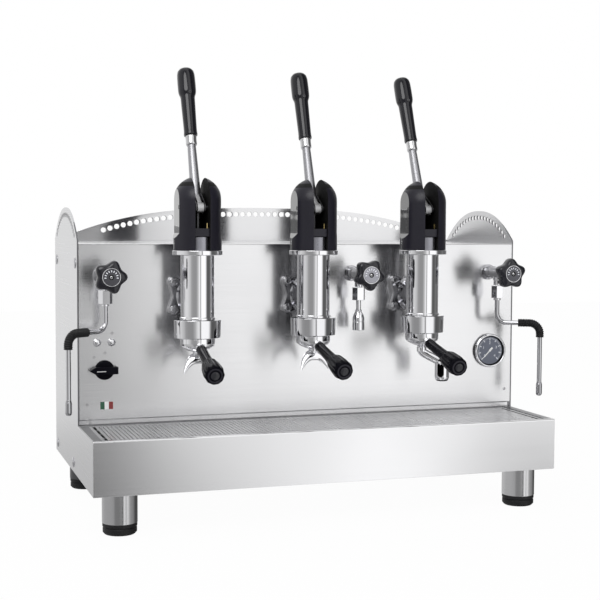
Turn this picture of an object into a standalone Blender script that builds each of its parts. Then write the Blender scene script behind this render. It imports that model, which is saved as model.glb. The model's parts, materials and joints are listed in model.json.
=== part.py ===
"""A three-group lever espresso machine, in metres, +Z up.

The origin lies on the floor under the middle of the machine's outline.
Inside the model, x = 0 is the middle of the body, y = 0 the front of the splash panel
and z = 0 the floor; one empty moves the whole machine to the origin.
"""
import math

import bmesh
import bpy
from mathutils import Matrix, Vector

# Clearances and cutters
GAP = 0.0003
SLIDE_CLEARANCE = 0.0005
OVERRUN = 0.002
WELD = 0.00001

# Facets
GROUP_STEPS = 18
ROUND_STEPS = 14
SMALL_STEPS = 10
HOLE_STEPS = 6
TUBE_STEPS = 8
ARC_STEPS = 4

# Body
BODY_WIDTH = 0.950
BODY_DEPTH = 0.335
TRAY_REACH = 0.1915
TRAY_HEIGHT = 0.1033
FOOT_HEIGHT = 0.0795
DECK_RISE = 0.3577
SPLASH_SLOT = 0.0102
SIDE_SHEET = 0.003
SHEET = 0.0015
BASE_SHEET = 0.003

# Arched side panels
SIDE_SHOULDER_RISE = 0.0065
SIDE_ARCH_RISE = 0.0668
SIDE_ARCH_POWER = 2.25
SIDE_HOLE_RADIUS = 0.005
SIDE_HOLE_PITCH = 0.0155
SIDE_HOLE_INSET = 0.0153
SIDE_HOLES_EACH_WAY = 9

# Gallery rail
RAIL_BASE_HEIGHT = 0.0045
RAIL_RISE = 0.0735
RAIL_POWER = 2.8
RAIL_SHEET = 0.002
RAIL_HOLE_RADIUS = 0.0055
RAIL_HOLE_PITCH = 0.0155
RAIL_HOLE_INSET = 0.0145
RAIL_HOLE_MARGIN = 0.012
RAIL_END_MARGIN = 0.092

# Tray
APRON_LIP = 0.009
BASIN_FLANGE = 0.013
BASIN_DEPTH = 0.055
BASIN_LEDGE = 0.004
DRAIN_RADIUS = 0.012
DRAIN_WALL = 0.003
DRAIN_LENGTH = 0.030
GRID_DROP = 0.0013
GRID_SHEET = 0.003
GRID_BORDER = 0.010
GRID_SLOT_PITCH = 0.016
GRID_SLOT_WIDTH = 0.0095
BEARER_WIDTH = 0.030
BEARER_INSET = 0.150

# Feet
FOOT_RADIUS = 0.0335
FOOT_INSET = 0.057
FOOT_FRONT_INSET = 0.0485
FOOT_REAR_INSET = 0.045
PAD_HEIGHT = 0.0165
PAD_RADIUS = 0.0325
PAD_GROOVE = 0.0012
PAD_ROUND = 0.005
PAD_BAND_SHARE = 0.25

# Boiler and its saddles
BOILER_RADIUS = 0.095
BOILER_LENGTH = 0.740
BOILER_WALL = 0.003
BOILER_CROWN = 0.030
BOILER_END_SHARE = 0.55
BOILER_PORT_RADIUS = 0.018
BOILER_HEIGHT = 0.330
BOILER_BACK = 0.180
SADDLE_WIDTH = 0.025
SADDLE_DEPTH = 0.110
SADDLE_INSET = 0.120
SADDLE_WRAP = 0.020
GLAND_RADIUS = 0.012
GLAND_BORE = 0.005
GLAND_LENGTH = 0.018
GLAND_INSET = 0.230
GLAND_BACK = 0.280

# Groups
GROUP_SPACING = 0.2379
GROUP_SHIFT = -0.0162
GROUP_REACH = 0.085
CUP_SPACE = 0.1765
COLLAR_HEIGHT = 0.0352
COLLAR_RADIUS = 0.036
COLLAR_EAR_REACH = 0.0465
COLLAR_EAR_DEPTH = 0.022
COLLAR_EAR_ROUND = 0.006
COLLAR_MOUTH = 0.0325
COLLAR_GROOVE = 0.0342
COLLAR_LIP = 0.0045
COLLAR_GROOVE_HEIGHT = 0.006
BEAD_HEIGHT = 0.005
BEAD_RADIUS = 0.035
CYLINDER_HEIGHT = 0.121
CYLINDER_RADIUS = 0.033
SKIRT_RADIUS = 0.029
SKIRT_HEIGHT = 0.022
BORE_RADIUS = 0.0255
FLANGE_RADIUS = 0.049
FLANGE_THICKNESS = 0.0088
SLEEVE_RADIUS = 0.036
SLEEVE_HEIGHT = 0.0267
NECK_HALF_WIDTH = 0.020
NECK_HALF_HEIGHT = 0.0275
NECK_HEIGHT_SHARE = 0.31
LUG_SPREAD = 0.031
LUG_RISE = 0.028
LUG_RADIUS = 0.010
LUG_THICKNESS = 0.012
WAIST_SHARE = 0.78

# Covers
COVER_RADIUS = 0.047
COVER_WALL = 0.009
COVER_FLOOR = 0.0156
COVER_STRAIGHT = 0.0955
COVER_FLAT = 0.0413
COVER_SLOT = 0.0295
COVER_BACK_WALL = 0.011
COVER_NOTCH_DROP = 0.030
FLOOR_SHARE_OF_RING = 0.80

# Levers
FULCRUM_OFFSET = 0.019
FULCRUM_RISE = 0.0404
FULCRUM_RADIUS = 0.004
LEVER_LEAN = 20.0
LEVER_SWING = 115.0
ARM_OFFSET = 0.0239
ARM_START = 0.0205
ARM_FOOT_RADIUS = 0.009
ARM_TOP_RADIUS = 0.0075
ARM_REACH = 0.3045
LEVER_SWAYS = (0.2, 0.35, -1.3)
GRIP_LENGTH = 0.1445
GRIP_TIP_RADIUS = 0.0175
GRIP_WAIST_RADIUS = 0.0139
GRIP_FOOT_RADIUS = 0.0124
GRIP_BULGE = 0.050
GRIP_CROWN_SHARE = 0.45
GRIP_CROWN_DROP_SHARES = (0.25, 1.3)
FERRULE_LENGTH = 0.021
FERRULE_RADIUS = 0.0104
HUB_RADIUS = 0.012
HUB_WIDTH = 0.014
PLATE_INNER = 0.006
PLATE_THICKNESS = 0.004
CAM_MARGIN = 4.0
CAM_FACETS = 8
WEB_HALF_WIDTH = 0.0065
WEB_TOP = 0.034

# Pistons and springs
ROD_RADIUS = 0.005
ROD_CAP = 0.005
CROSSHEAD_RADIUS = 0.003
CROSSHEAD_HALF_LENGTH = 0.011
PISTON_HEIGHT = 0.017
PISTON_LIFT_OFF = 0.006
SPRING_RADIUS = 0.0215
SPRING_WIRE = 0.0021
SPRING_TURNS = 5
SPRING_POINTS = 8

# Portafilters
BOWL_RADIUS = 0.0345
BOWL_HEIGHT = 0.0193
BOWL_ROUND = 0.018
BOWL_NECK_RADIUS = 0.0085
BOWL_NECK_SHARE = 0.5
BOWL_WALL_SHARE = 0.6
BOWL_FOOT_SHARE = 0.78
BASKET_ROUND_SHARE = 0.3
BASKET_RADIUS = 0.0275
BASKET_DEPTH = 0.026
RIM_HEIGHT = 0.0115
HANDLE_SLOPE = 12.3
HANDLE_RISE = 0.0103
HANDLE_START = 0.0415
HANDLE_END = 0.1975
HANDLE_NARROW_RADIUS = 0.0100
HANDLE_GRIP_RADIUS = 0.0194
HANDLE_DISC_RADIUS = 0.0120
HANDLE_NARROW_SHARE = 0.50
HANDLE_GRIP_SHARES = ((0.02, 0.80), (0.35, 0.93), (0.72, 1.0), (0.90, 0.98), (0.97, 0.86))
STUB_RADIUS = 0.008
HANDLE_YAWS = (4.1, 1.1, 1.9)
SPOUT_DROP = 0.048
SPOUT_SPREAD = 0.0215
SPOUT_ARCH = 0.0245
SPOUT_RADIUS = 0.0100
SPOUT_TIP_RADIUS = 0.0040
SPOUT_POWER = 2.4
CHUTE_BEARING = 67.0
CHUTE_REACH = 0.0422
CHUTE_DROP = 0.0722
CHUTE_LENGTH = 0.0500
CHUTE_RADIUS = 0.0150
CHUTE_WALL = 0.0022
CHUTE_ARM_RADIUS = 0.0092
CHUTE_ENTRY_SHARE = 0.12
CHUTE_ELBOW_SHARES = (0.14, 0.215)
CHUTE_FACING = 35.0
CHUTE_MOUTH_SHARE = 0.5

# Steam and water
VALVE_RISE = 0.2967
VALVE_RADIUS = 0.012
VALVE_LENGTH = 0.105
VALVE_ROSE_RADIUS = 0.0165
VALVE_ROSE_THICKNESS = 0.006
OUTLET_REACH = 0.047
OUTLET_RADIUS = 0.00825
OUTLET_DROP = 0.027
NUT_WIDTH = 0.0235
NUT_HEIGHT = 0.0275
LEFT_VALVE_INSET = 0.0475
RIGHT_VALVE_INSET = 0.0615
TAP_SHARE = 0.47
KNOB_RADIUS = 0.032
KNOB_THICKNESS = 0.025
KNOB_LOBE_SHARE = 0.13
KNOB_LOBES = 5
KNOB_DISC_RADIUS = 0.0175
KNOB_DISC_HEIGHT = 0.0015
SPINDLE_RADIUS = 0.004
SPINDLE_LENGTH = 0.010
WAND_RADIUS = 0.005
WAND_SOCKET = 0.008
WAND_DROP = 0.052
WAND_BEND = 0.019
WAND_REACH = 0.091
WAND_TURN = 31.0
SLEEVE_TUBE_RADIUS = 0.0082
SLEEVE_RIB = 0.0006
SLEEVE_START = 0.045
SLEEVE_BEND = 0.022
SLEEVE_DROP = 0.030
WAND_LENGTH = 0.130
TIP_RADIUS = 0.0065
TIP_LENGTH = 0.025
SPOUT_PIPE_LENGTH = 0.0185
BELL_HEIGHT = 0.021
BELL_RADIUS = 0.01225
BELL_LENGTH = 0.0225

# Controls
GAUGE_INSET = 0.0554
GAUGE_RISE = 0.1253
GAUGE_RADIUS = 0.0366
GAUGE_BODY_RADIUS = 0.033
GAUGE_PROUD = 0.009
GAUGE_DEPTH = 0.028
GAUGE_RING = 0.0045
GAUGE_RECESS = 0.005
NEEDLE_LENGTH = 0.024
NEEDLE_TAIL = 0.007
NEEDLE_WIDTH = 0.0024
NEEDLE_SHEET = 0.001
NEEDLE_HUB = 0.003
NEEDLE_REST = 136.0
SWITCH_INSET = 0.053
SWITCH_RISE = 0.109
SWITCH_RADIUS = 0.0195
SWITCH_DISC = 0.006
SWITCH_BAR_LENGTH = 0.057
SWITCH_BAR_WIDTH = 0.015
SWITCH_BAR_HEIGHT = 0.014
SWITCH_POINT_SHARE = 0.56
BUTTON_RADIUS = 0.0083
BUTTON_RISE = 0.1635
BUTTON_SPREAD = 0.0287
BUTTON_DOME = 0.006
BUTTON_SHOULDER_SHARE = 0.6
BUTTON_DOME_SHARES = (0.85, 0.3)
BUTTON_TRAVEL = 0.0025
BUTTON_STEM = 0.003
BUTTON_STEM_LENGTH = 0.010

# Heights above the floor
RIM = FOOT_HEIGHT + TRAY_HEIGHT
DECK = RIM + DECK_RISE
SPLASH_BOTTOM = RIM + SPLASH_SLOT
SHELF_BOTTOM = DECK - SHEET
COLLAR_BOTTOM = RIM + CUP_SPACE
COLLAR_TOP = COLLAR_BOTTOM + COLLAR_HEIGHT
BEAD_TOP = COLLAR_TOP + BEAD_HEIGHT
FLANGE_BOTTOM = BEAD_TOP + CYLINDER_HEIGHT
FLANGE_TOP = FLANGE_BOTTOM + FLANGE_THICKNESS
SLEEVE_TOP = FLANGE_TOP + SLEEVE_HEIGHT
COVER_BOTTOM = FLANGE_TOP + GAP
COVER_FLOOR_BOTTOM = SLEEVE_TOP + GAP
COVER_FLOOR_TOP = COVER_FLOOR_BOTTOM + COVER_FLOOR
DOME_CENTRE = COVER_BOTTOM + COVER_STRAIGHT
DOME_TOP = DOME_CENTRE + COVER_RADIUS
FULCRUM = COVER_FLOOR_TOP + FULCRUM_RISE
SKIRT_BOTTOM = COLLAR_TOP - SKIRT_HEIGHT
NECK_HEIGHT = BEAD_TOP + NECK_HEIGHT_SHARE * CYLINDER_HEIGHT
VALVE_HEIGHT = RIM + VALVE_RISE

# Places across and along the body
HALF_WIDTH = BODY_WIDTH / 2
INNER_HALF = HALF_WIDTH - SIDE_SHEET - GAP
TRAY_FRONT = -(TRAY_REACH - SHEET - GAP)
GROUP_PLACES = [GROUP_SHIFT + step * GROUP_SPACING for step in (-1, 0, 1)]
TAP_PLACE = GROUP_SHIFT + TAP_SHARE * GROUP_SPACING
LEFT_VALVE_PLACE = -HALF_WIDTH + LEFT_VALVE_INSET
RIGHT_VALVE_PLACE = HALF_WIDTH - RIGHT_VALVE_INSET

# Middle of the outline, from its outermost pieces
WAND_SPREAD = WAND_REACH * math.cos(math.radians(WAND_TURN)) + SLEEVE_TUBE_RADIUS + SLEEVE_RIB
LEFTMOST = LEFT_VALVE_PLACE - WAND_SPREAD
RIGHTMOST = RIGHT_VALVE_PLACE + WAND_SPREAD
SLOPE = math.radians(HANDLE_SLOPE)
HANDLE_FRONT = HANDLE_END * math.cos(SLOPE) + HANDLE_DISC_RADIUS * math.sin(SLOPE)
FRONTMOST = -GROUP_REACH - HANDLE_FRONT * math.cos(math.radians(min(HANDLE_YAWS)))
CENTRE = Vector(((LEFTMOST + RIGHTMOST) / 2, (FRONTMOST + BODY_DEPTH) / 2, 0))


def new_collection(name):
    collection = bpy.data.collections.new(name)
    bpy.context.scene.collection.children.link(collection)
    return collection


for leftover in list(bpy.data.objects):
    bpy.data.objects.remove(leftover, do_unlink=True)
PARTS = new_collection("lever_espresso_machine")
CUTTERS = new_collection("cutters")


# Materials

def material(name, colour, roughness, metallic):
    made = bpy.data.materials.new(name)
    made.use_nodes = True
    shader = made.node_tree.nodes["Principled BSDF"]
    shader.inputs["Base Color"].default_value = (*colour, 1)
    shader.inputs["Roughness"].default_value = roughness
    shader.inputs["Metallic"].default_value = metallic
    return made


SATIN_STEEL = material("satin_steel", (0.62, 0.62, 0.63), 0.35, 1.0)
CHROME = material("chrome", (0.78, 0.78, 0.80), 0.08, 1.0)
BRASS = material("brass", (0.72, 0.50, 0.25), 0.30, 1.0)
BLACK_GLOSS = material("black_gloss", (0.015, 0.015, 0.018), 0.15, 0.0)
BLACK_MATTE = material("black_matte", (0.025, 0.025, 0.028), 0.45, 0.0)
DIAL = material("dial", (0.10, 0.12, 0.16), 0.40, 0.0)


# Making, placing and cutting objects

def place(item, parent, location=(0, 0, 0), rotation=(0, 0, 0)):
    item.parent = parent
    item.location = location
    item.rotation_euler = rotation
    return item


def holder(name, parent=None, location=(0, 0, 0), rotation=(0, 0, 0)):
    item = bpy.data.objects.new(name, None)
    PARTS.objects.link(item)
    return place(item, parent, location, rotation)


def new_object(name, data, finish):
    item = bpy.data.objects.new(name, data)
    PARTS.objects.link(item)
    if finish:
        data.materials.append(finish)
    return item


def mesh_object(name, shape, finish):
    mesh = bpy.data.meshes.new(name)
    shape.to_mesh(mesh)
    shape.free()
    return new_object(name, mesh, finish)


def box(name, low, high, finish=None):
    """A box between two corners."""
    low = Vector(low)
    high = Vector(high)
    shape = bmesh.new()
    bmesh.ops.create_cube(shape, size=1)
    bmesh.ops.scale(shape, vec=high - low, verts=shape.verts)
    bmesh.ops.translate(shape, vec=(low + high) / 2, verts=shape.verts)
    return mesh_object(name, shape, finish)


def rod(name, start, end, radius, steps=SMALL_STEPS, finish=None):
    """A cylinder between two points."""
    start = Vector(start)
    along = Vector(end) - start
    shape = bmesh.new()
    bmesh.ops.create_cone(shape, cap_ends=True, segments=steps, radius1=radius, radius2=radius,
                          depth=along.length)
    aim = Vector((0, 0, 1)).rotation_difference(along).to_matrix().to_4x4()
    bmesh.ops.transform(shape, matrix=Matrix.Translation(start + along / 2) @ aim,
                        verts=shape.verts)
    return mesh_object(name, shape, finish)


def turned(name, profile, steps, finish=None, closed=False):
    """A profile of (radius, height) points, top to bottom on the outside, swept round Z."""
    shape = bmesh.new()
    points = [shape.verts.new((radius, 0, height)) for radius, height in profile]
    pairs = list(zip(points, points[1:]))
    if closed:
        pairs.append((points[-1], points[0]))
    for pair in pairs:
        shape.edges.new(pair)
    item = mesh_object(name, shape, finish)
    screw = item.modifiers.new("turn", "SCREW")
    screw.steps = steps
    screw.render_steps = steps
    screw.use_merge_vertices = True
    screw.merge_threshold = WELD
    return item


def outline(name, loops, thickness, finish=None):
    """A flat plate in XY, centred on Z; the loops after the first are its holes."""
    curve = bpy.data.curves.new(name, "CURVE")
    curve.dimensions = "2D"
    curve.fill_mode = "BOTH"
    curve.extrude = thickness / 2
    for loop in loops:
        spline = curve.splines.new("POLY")
        spline.points.add(len(loop) - 1)
        spline.use_cyclic_u = True
        for point, (x, y) in zip(spline.points, loop):
            point.co = (x, y, 0, 1)
    return as_mesh(new_object(name, curve, finish))


def tube(name, route, radii, finish=None, resolution=2):
    """A capped tube along a route; radii is one radius or one for each point."""
    curve = bpy.data.curves.new(name, "CURVE")
    curve.dimensions = "3D"
    curve.use_fill_caps = True
    curve.bevel_depth = 1
    curve.bevel_resolution = resolution
    spline = curve.splines.new("POLY")
    spline.points.add(len(route) - 1)
    if isinstance(radii, float):
        radii = [radii] * len(route)
    for point, place_, radius in zip(spline.points, route, radii):
        point.co = (*place_, 1)
        point.radius = radius
    return as_mesh(new_object(name, curve, finish))


def as_mesh(item):
    """Turn a curve, or an object with modifiers, into a plain welded mesh."""
    bpy.context.view_layer.update()
    graph = bpy.context.evaluated_depsgraph_get()
    mesh = bpy.data.meshes.new_from_object(item.evaluated_get(graph))
    shape = bmesh.new()
    shape.from_mesh(mesh)
    bmesh.ops.remove_doubles(shape, verts=shape.verts, dist=WELD)
    bmesh.ops.recalc_face_normals(shape, faces=shape.faces)
    shape.to_mesh(mesh)
    shape.free()
    name = item.name
    item.name = name + "_source"
    made = new_object(name, mesh, None)
    place(made, item.parent, item.location, item.rotation_euler)
    bpy.data.objects.remove(item, do_unlink=True)
    return made


def combine(item, others, operation):
    """Join others to an item, or cut them out of it. They share the item's parent and place."""
    for other in others:
        PARTS.objects.unlink(other)
        CUTTERS.objects.link(other)
        other.hide_render = True
        other.display_type = "WIRE"
        step = item.modifiers.new(operation.lower(), "BOOLEAN")
        step.operation = operation
        step.object = other
    return item


def join(item, *others):
    return combine(item, others, "UNION")


def cut(item, *others):
    return combine(item, others, "DIFFERENCE")


def settle(item, parent, location=(0, 0, 0), rotation=(0, 0, 0)):
    """Apply an item's joins and cuts, delete its tools and place it under its parent."""
    tools = [step.object for step in item.modifiers if step.type == "BOOLEAN"]
    item = as_mesh(item)
    for tool in tools:
        bpy.data.objects.remove(tool, do_unlink=True)
    smooth(item)
    return place(item, parent, location, rotation)


def smooth(item):
    item.data.shade_smooth()
    item.data.set_sharp_from_angle(angle=math.radians(35))


def clear(radius, steps=SMALL_STEPS):
    """Corner radius of a faceted hole whose flats keep the gap to a round piece."""
    return (radius + GAP) / math.cos(math.pi / steps)


# Outlines

def arc(centre, radius, start, end, steps=ARC_STEPS):
    """Points on an arc between two angles in degrees."""
    angles = [math.radians(start + (end - start) * step / steps) for step in range(steps + 1)]
    return [(centre[0] + radius * math.cos(angle), centre[1] + radius * math.sin(angle))
            for angle in angles]


def ring(centre, radius, steps=HOLE_STEPS):
    return arc(centre, radius, 0, 360 - 360 / steps, steps - 1)


def rectangle(low, high):
    return [(low[0], low[1]), (high[0], low[1]), (high[0], high[1]), (low[0], high[1])]


def arch(half, rise, power, steps):
    """Points over an arch from +half to -half, at zero height at both ends."""
    shares = [math.sin(math.pi / 2 * (1 - 2 * step / steps)) for step in range(steps + 1)]
    return [(half * share, rise * (1 - abs(share) ** power)) for share in shares]


def arch_row(half, rise, power, inset, pitch, count):
    """Points a pitch apart along a line that runs at an inset under an arch."""
    samples = 2000
    row = [(0.0, rise - inset)]
    last = row[0]
    travelled = 0.0
    for step in range(1, samples):
        share = step / samples
        slope = -rise * power * share ** (power - 1) / half
        length = math.hypot(1, slope)
        point = (half * share + inset * slope / length,
                 rise * (1 - share ** power) - inset / length)
        travelled += math.hypot(point[0] - last[0], point[1] - last[1])
        last = point
        if travelled >= pitch * len(row) and len(row) <= count:
            row.append(point)
    return [(-x, y) for x, y in reversed(row[1:])] + row


# Upright planes: an outline's X and Y become the machine's Y and Z, or its X and Z
FACING_X = (math.pi / 2, 0, math.pi / 2)
FACING_Y = (math.pi / 2, 0, 0)
POINTING_FORWARD = (math.pi / 2, 0, 0)

MACHINE = holder("machine", location=-CENTRE)


# Body

def side_panel(name, side):
    middle = BODY_DEPTH / 2
    shoulder = DECK + SIDE_SHOULDER_RISE
    crown = [(middle + y, shoulder + z)
             for y, z in arch(middle, SIDE_ARCH_RISE, SIDE_ARCH_POWER, 24)]
    edge = [(TRAY_FRONT, FOOT_HEIGHT), (BODY_DEPTH, FOOT_HEIGHT)] + crown
    edge += [(0, RIM), (TRAY_FRONT, RIM)]
    row = arch_row(middle, SIDE_ARCH_RISE, SIDE_ARCH_POWER, SIDE_HOLE_INSET, SIDE_HOLE_PITCH,
                   SIDE_HOLES_EACH_WAY)
    holes = [ring((middle + y, shoulder + z), SIDE_HOLE_RADIUS) for y, z in row]
    panel = outline(name, [edge] + holes, SIDE_SHEET, SATIN_STEEL)
    place(panel, MACHINE, (side * (HALF_WIDTH - SIDE_SHEET / 2), 0, 0), FACING_X)


def gallery_rail():
    foot = DECK + GAP
    base = foot + RAIL_BASE_HEIGHT
    top = [(x, base + z) for x, z in arch(INNER_HALF, RAIL_RISE, RAIL_POWER, 32)]
    edge = [(-INNER_HALF, foot), (INNER_HALF, foot)] + top
    row = arch_row(INNER_HALF, RAIL_RISE, RAIL_POWER, RAIL_HOLE_INSET, RAIL_HOLE_PITCH,
                   int(HALF_WIDTH / RAIL_HOLE_PITCH))
    holes = [ring((x, base + z), RAIL_HOLE_RADIUS) for x, z in row
             if base + z - RAIL_HOLE_MARGIN > foot and abs(x) < INNER_HALF - RAIL_END_MARGIN]
    rail = outline("gallery_rail", [edge] + holes, RAIL_SHEET, SATIN_STEEL)
    place(rail, MACHINE, (0, BODY_DEPTH - RAIL_SHEET, 0), FACING_Y)


def splash_panel():
    """The front wall, folded back along its bottom edge, with holes for what sits in it."""
    panel = box("splash_panel", (-INNER_HALF, 0, SPLASH_BOTTOM), (INNER_HALF, SHEET, SHELF_BOTTOM - GAP),
                SATIN_STEEL)
    fold = box("splash_fold", (-INNER_HALF, SHEET / 2, SPLASH_BOTTOM),
               (INNER_HALF, APRON_LIP, SPLASH_BOTTOM + SHEET))
    holes = [rod("gauge_hole", (gauge_place(), -OVERRUN, RIM + GAUGE_RISE),
                 (gauge_place(), SHEET + OVERRUN, RIM + GAUGE_RISE),
                 clear(GAUGE_BODY_RADIUS, ROUND_STEPS), ROUND_STEPS)]
    for x in button_places():
        holes.append(rod("button_hole", (x, -OVERRUN, RIM + BUTTON_RISE),
                         (x, SHEET + OVERRUN, RIM + BUTTON_RISE), clear(BUTTON_STEM)))
    cut(join(panel, fold), *holes)
    settle(panel, MACHINE)


def as_mesh_in_place(item):
    """Write an item's own place into its mesh, so that other shapes can be joined to it."""
    move = Matrix.LocRotScale(item.location, item.rotation_euler, None)
    item.data.transform(move)
    return place(item, item.parent)


def cup_shelf():
    shelf = box("cup_shelf", (-INNER_HALF, 0, SHELF_BOTTOM), (INNER_HALF, BODY_DEPTH, DECK),
                SATIN_STEEL)
    place(shelf, MACHINE)


def rear_panel():
    floor = FOOT_HEIGHT + BASE_SHEET + GAP
    panel = box("rear_panel", (-INNER_HALF, BODY_DEPTH - SHEET, floor),
                (INNER_HALF, BODY_DEPTH, SHELF_BOTTOM - GAP), SATIN_STEEL)
    place(panel, MACHINE)


def front_apron():
    front = -TRAY_REACH
    apron = box("front_apron", (-HALF_WIDTH, front, FOOT_HEIGHT), (HALF_WIDTH, front + SHEET, RIM),
                SATIN_STEEL)
    lip = box("apron_lip", (-INNER_HALF, front + SHEET / 2, RIM - SHEET),
              (INNER_HALF, front + APRON_LIP, RIM))
    settle(join(apron, lip), MACHINE)


def basin_size():
    """Half width, front and back of the basin's outer wall."""
    return INNER_HALF - BASIN_FLANGE, -TRAY_REACH + APRON_LIP + GAP, SHEET


def drip_basin():
    half, front, back = basin_size()
    bottom = RIM - BASIN_DEPTH
    drain_front = (front + back) / 2
    basin = box("drip_basin", (-half, front, bottom), (half, back, RIM), SATIN_STEEL)
    flange = box("basin_flange", (-INNER_HALF, front, RIM - SHEET), (INNER_HALF, back, RIM))
    spigot = rod("basin_spigot", (0, drain_front, bottom - DRAIN_LENGTH),
                 (0, drain_front, bottom + SHEET / 2), DRAIN_RADIUS)
    grid_half, grid_front, grid_back = grid_size()
    recess = box("basin_recess", (-grid_half - GAP, grid_front - GAP, grid_bottom() - GAP),
                 (grid_half + GAP, grid_back + GAP, RIM + OVERRUN))
    hollow = box("basin_hollow",
                 (-grid_half + BASIN_LEDGE, grid_front + BASIN_LEDGE, bottom + SHEET),
                 (grid_half - BASIN_LEDGE, grid_back - BASIN_LEDGE, RIM + OVERRUN))
    bore = rod("drain_bore", (0, drain_front, bottom - DRAIN_LENGTH - OVERRUN),
               (0, drain_front, bottom + SHEET + OVERRUN), DRAIN_RADIUS - DRAIN_WALL)
    cut(join(basin, flange, spigot), recess, hollow, bore)
    settle(basin, MACHINE)


def grid_size():
    """Half width, front and back of the drip grid."""
    half, front, back = basin_size()
    return half - SHEET - GAP, front + SHEET + GAP, back - SHEET - GAP


def grid_bottom():
    return RIM - GRID_DROP - GRID_SHEET


def drip_grid():
    half, front, back = grid_size()
    slot_half = GRID_SLOT_WIDTH / 2
    count = int((half - GRID_BORDER - slot_half) / GRID_SLOT_PITCH)
    slots = []
    for step in range(-count, count + 1):
        x = step * GRID_SLOT_PITCH
        slots.append(rectangle((x - slot_half, front + GRID_BORDER),
                               (x + slot_half, back - GRID_BORDER)))
    grid = outline("drip_grid", [rectangle((-half, front), (half, back))] + slots, GRID_SHEET,
                   SATIN_STEEL)
    place(grid, MACHINE, (0, 0, grid_bottom() + GRID_SHEET / 2))


def base_frame():
    """The bottom plate with two bearers for the basin, two boiler saddles and a cable gland."""
    back = BODY_DEPTH - GAP
    top = FOOT_HEIGHT + BASE_SHEET
    plate = box("base_frame", (-INNER_HALF, TRAY_FRONT, FOOT_HEIGHT), (INNER_HALF, back, top),
                SATIN_STEEL)
    parts = []
    half, basin_front, basin_back = basin_size()
    for side in (-1, 1):
        x = side * (HALF_WIDTH - BEARER_INSET)
        parts.append(box("bearer", (x - BEARER_WIDTH / 2, basin_front, top - SHEET),
                         (x + BEARER_WIDTH / 2, basin_back, RIM - BASIN_DEPTH - GAP)))
        x = side * (BOILER_LENGTH / 2 - SADDLE_INSET)
        parts.append(box("saddle", (x - SADDLE_WIDTH / 2, BOILER_BACK - SADDLE_DEPTH / 2,
                                    top - SHEET),
                         (x + SADDLE_WIDTH / 2, BOILER_BACK + SADDLE_DEPTH / 2,
                          BOILER_HEIGHT - BOILER_RADIUS + SADDLE_WRAP)))
    cradle = rod("cradle", (-BOILER_LENGTH / 2, BOILER_BACK, BOILER_HEIGHT),
                 (BOILER_LENGTH / 2, BOILER_BACK, BOILER_HEIGHT),
                 clear(BOILER_RADIUS, GROUP_STEPS), GROUP_STEPS)
    gland_x = -HALF_WIDTH + GLAND_INSET
    gland_bottom = FOOT_HEIGHT - GLAND_LENGTH
    parts.append(rod("gland", (gland_x, GLAND_BACK, gland_bottom), (gland_x, GLAND_BACK, top - SHEET),
                     GLAND_RADIUS))
    gland_bore = rod("gland_bore", (gland_x, GLAND_BACK, gland_bottom - OVERRUN),
                     (gland_x, GLAND_BACK, top + OVERRUN), GLAND_BORE)
    cut(join(plate, *parts), cradle, gland_bore)
    settle(plate, MACHINE)


def boiler():
    """A domed shell lying along X, open at the port in its right end."""
    half = BOILER_LENGTH / 2
    inner_radius = BOILER_RADIUS - BOILER_WALL
    shoulder = half - BOILER_CROWN
    profile = [(BOILER_PORT_RADIUS, half), (BOILER_RADIUS * BOILER_END_SHARE, half),
               (BOILER_RADIUS, shoulder), (BOILER_RADIUS, -shoulder),
               (BOILER_RADIUS * BOILER_END_SHARE, -half), (0, -half)]
    hollow = [(0, -half + BOILER_WALL), (inner_radius * BOILER_END_SHARE, -half + BOILER_WALL),
              (inner_radius, -shoulder), (inner_radius, shoulder),
              (inner_radius * BOILER_END_SHARE, half - BOILER_WALL),
              (BOILER_PORT_RADIUS, half - BOILER_WALL), (BOILER_PORT_RADIUS, half)]
    shell = turned("boiler", profile + hollow, GROUP_STEPS, BRASS)
    settle(shell, MACHINE, (0, BOILER_BACK, BOILER_HEIGHT), (0, math.pi / 2, 0))


def foot(name, x, y):
    groove = PAD_RADIUS - PAD_GROOVE
    band = PAD_HEIGHT * PAD_BAND_SHARE
    profile = [(0, FOOT_HEIGHT - GAP), (FOOT_RADIUS, FOOT_HEIGHT - GAP), (FOOT_RADIUS, PAD_HEIGHT),
               (PAD_RADIUS, PAD_HEIGHT), (groove, PAD_HEIGHT - band),
               (PAD_RADIUS, PAD_HEIGHT - 2 * band), (PAD_RADIUS, PAD_ROUND),
               (PAD_RADIUS - PAD_ROUND, 0), (0, 0)]
    settle(turned(name, profile, ROUND_STEPS, SATIN_STEEL), MACHINE, (x, y, 0))


def feet():
    places = {"front": -TRAY_REACH + FOOT_FRONT_INSET, "rear": BODY_DEPTH - FOOT_REAR_INSET}
    for row, y in places.items():
        for side, sign in (("left", -1), ("right", 1)):
            foot(f"foot_{row}_{side}", sign * (HALF_WIDTH - FOOT_INSET), y)


# Groups. Each one stands in the frame of its own axis, with z from the floor

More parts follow.
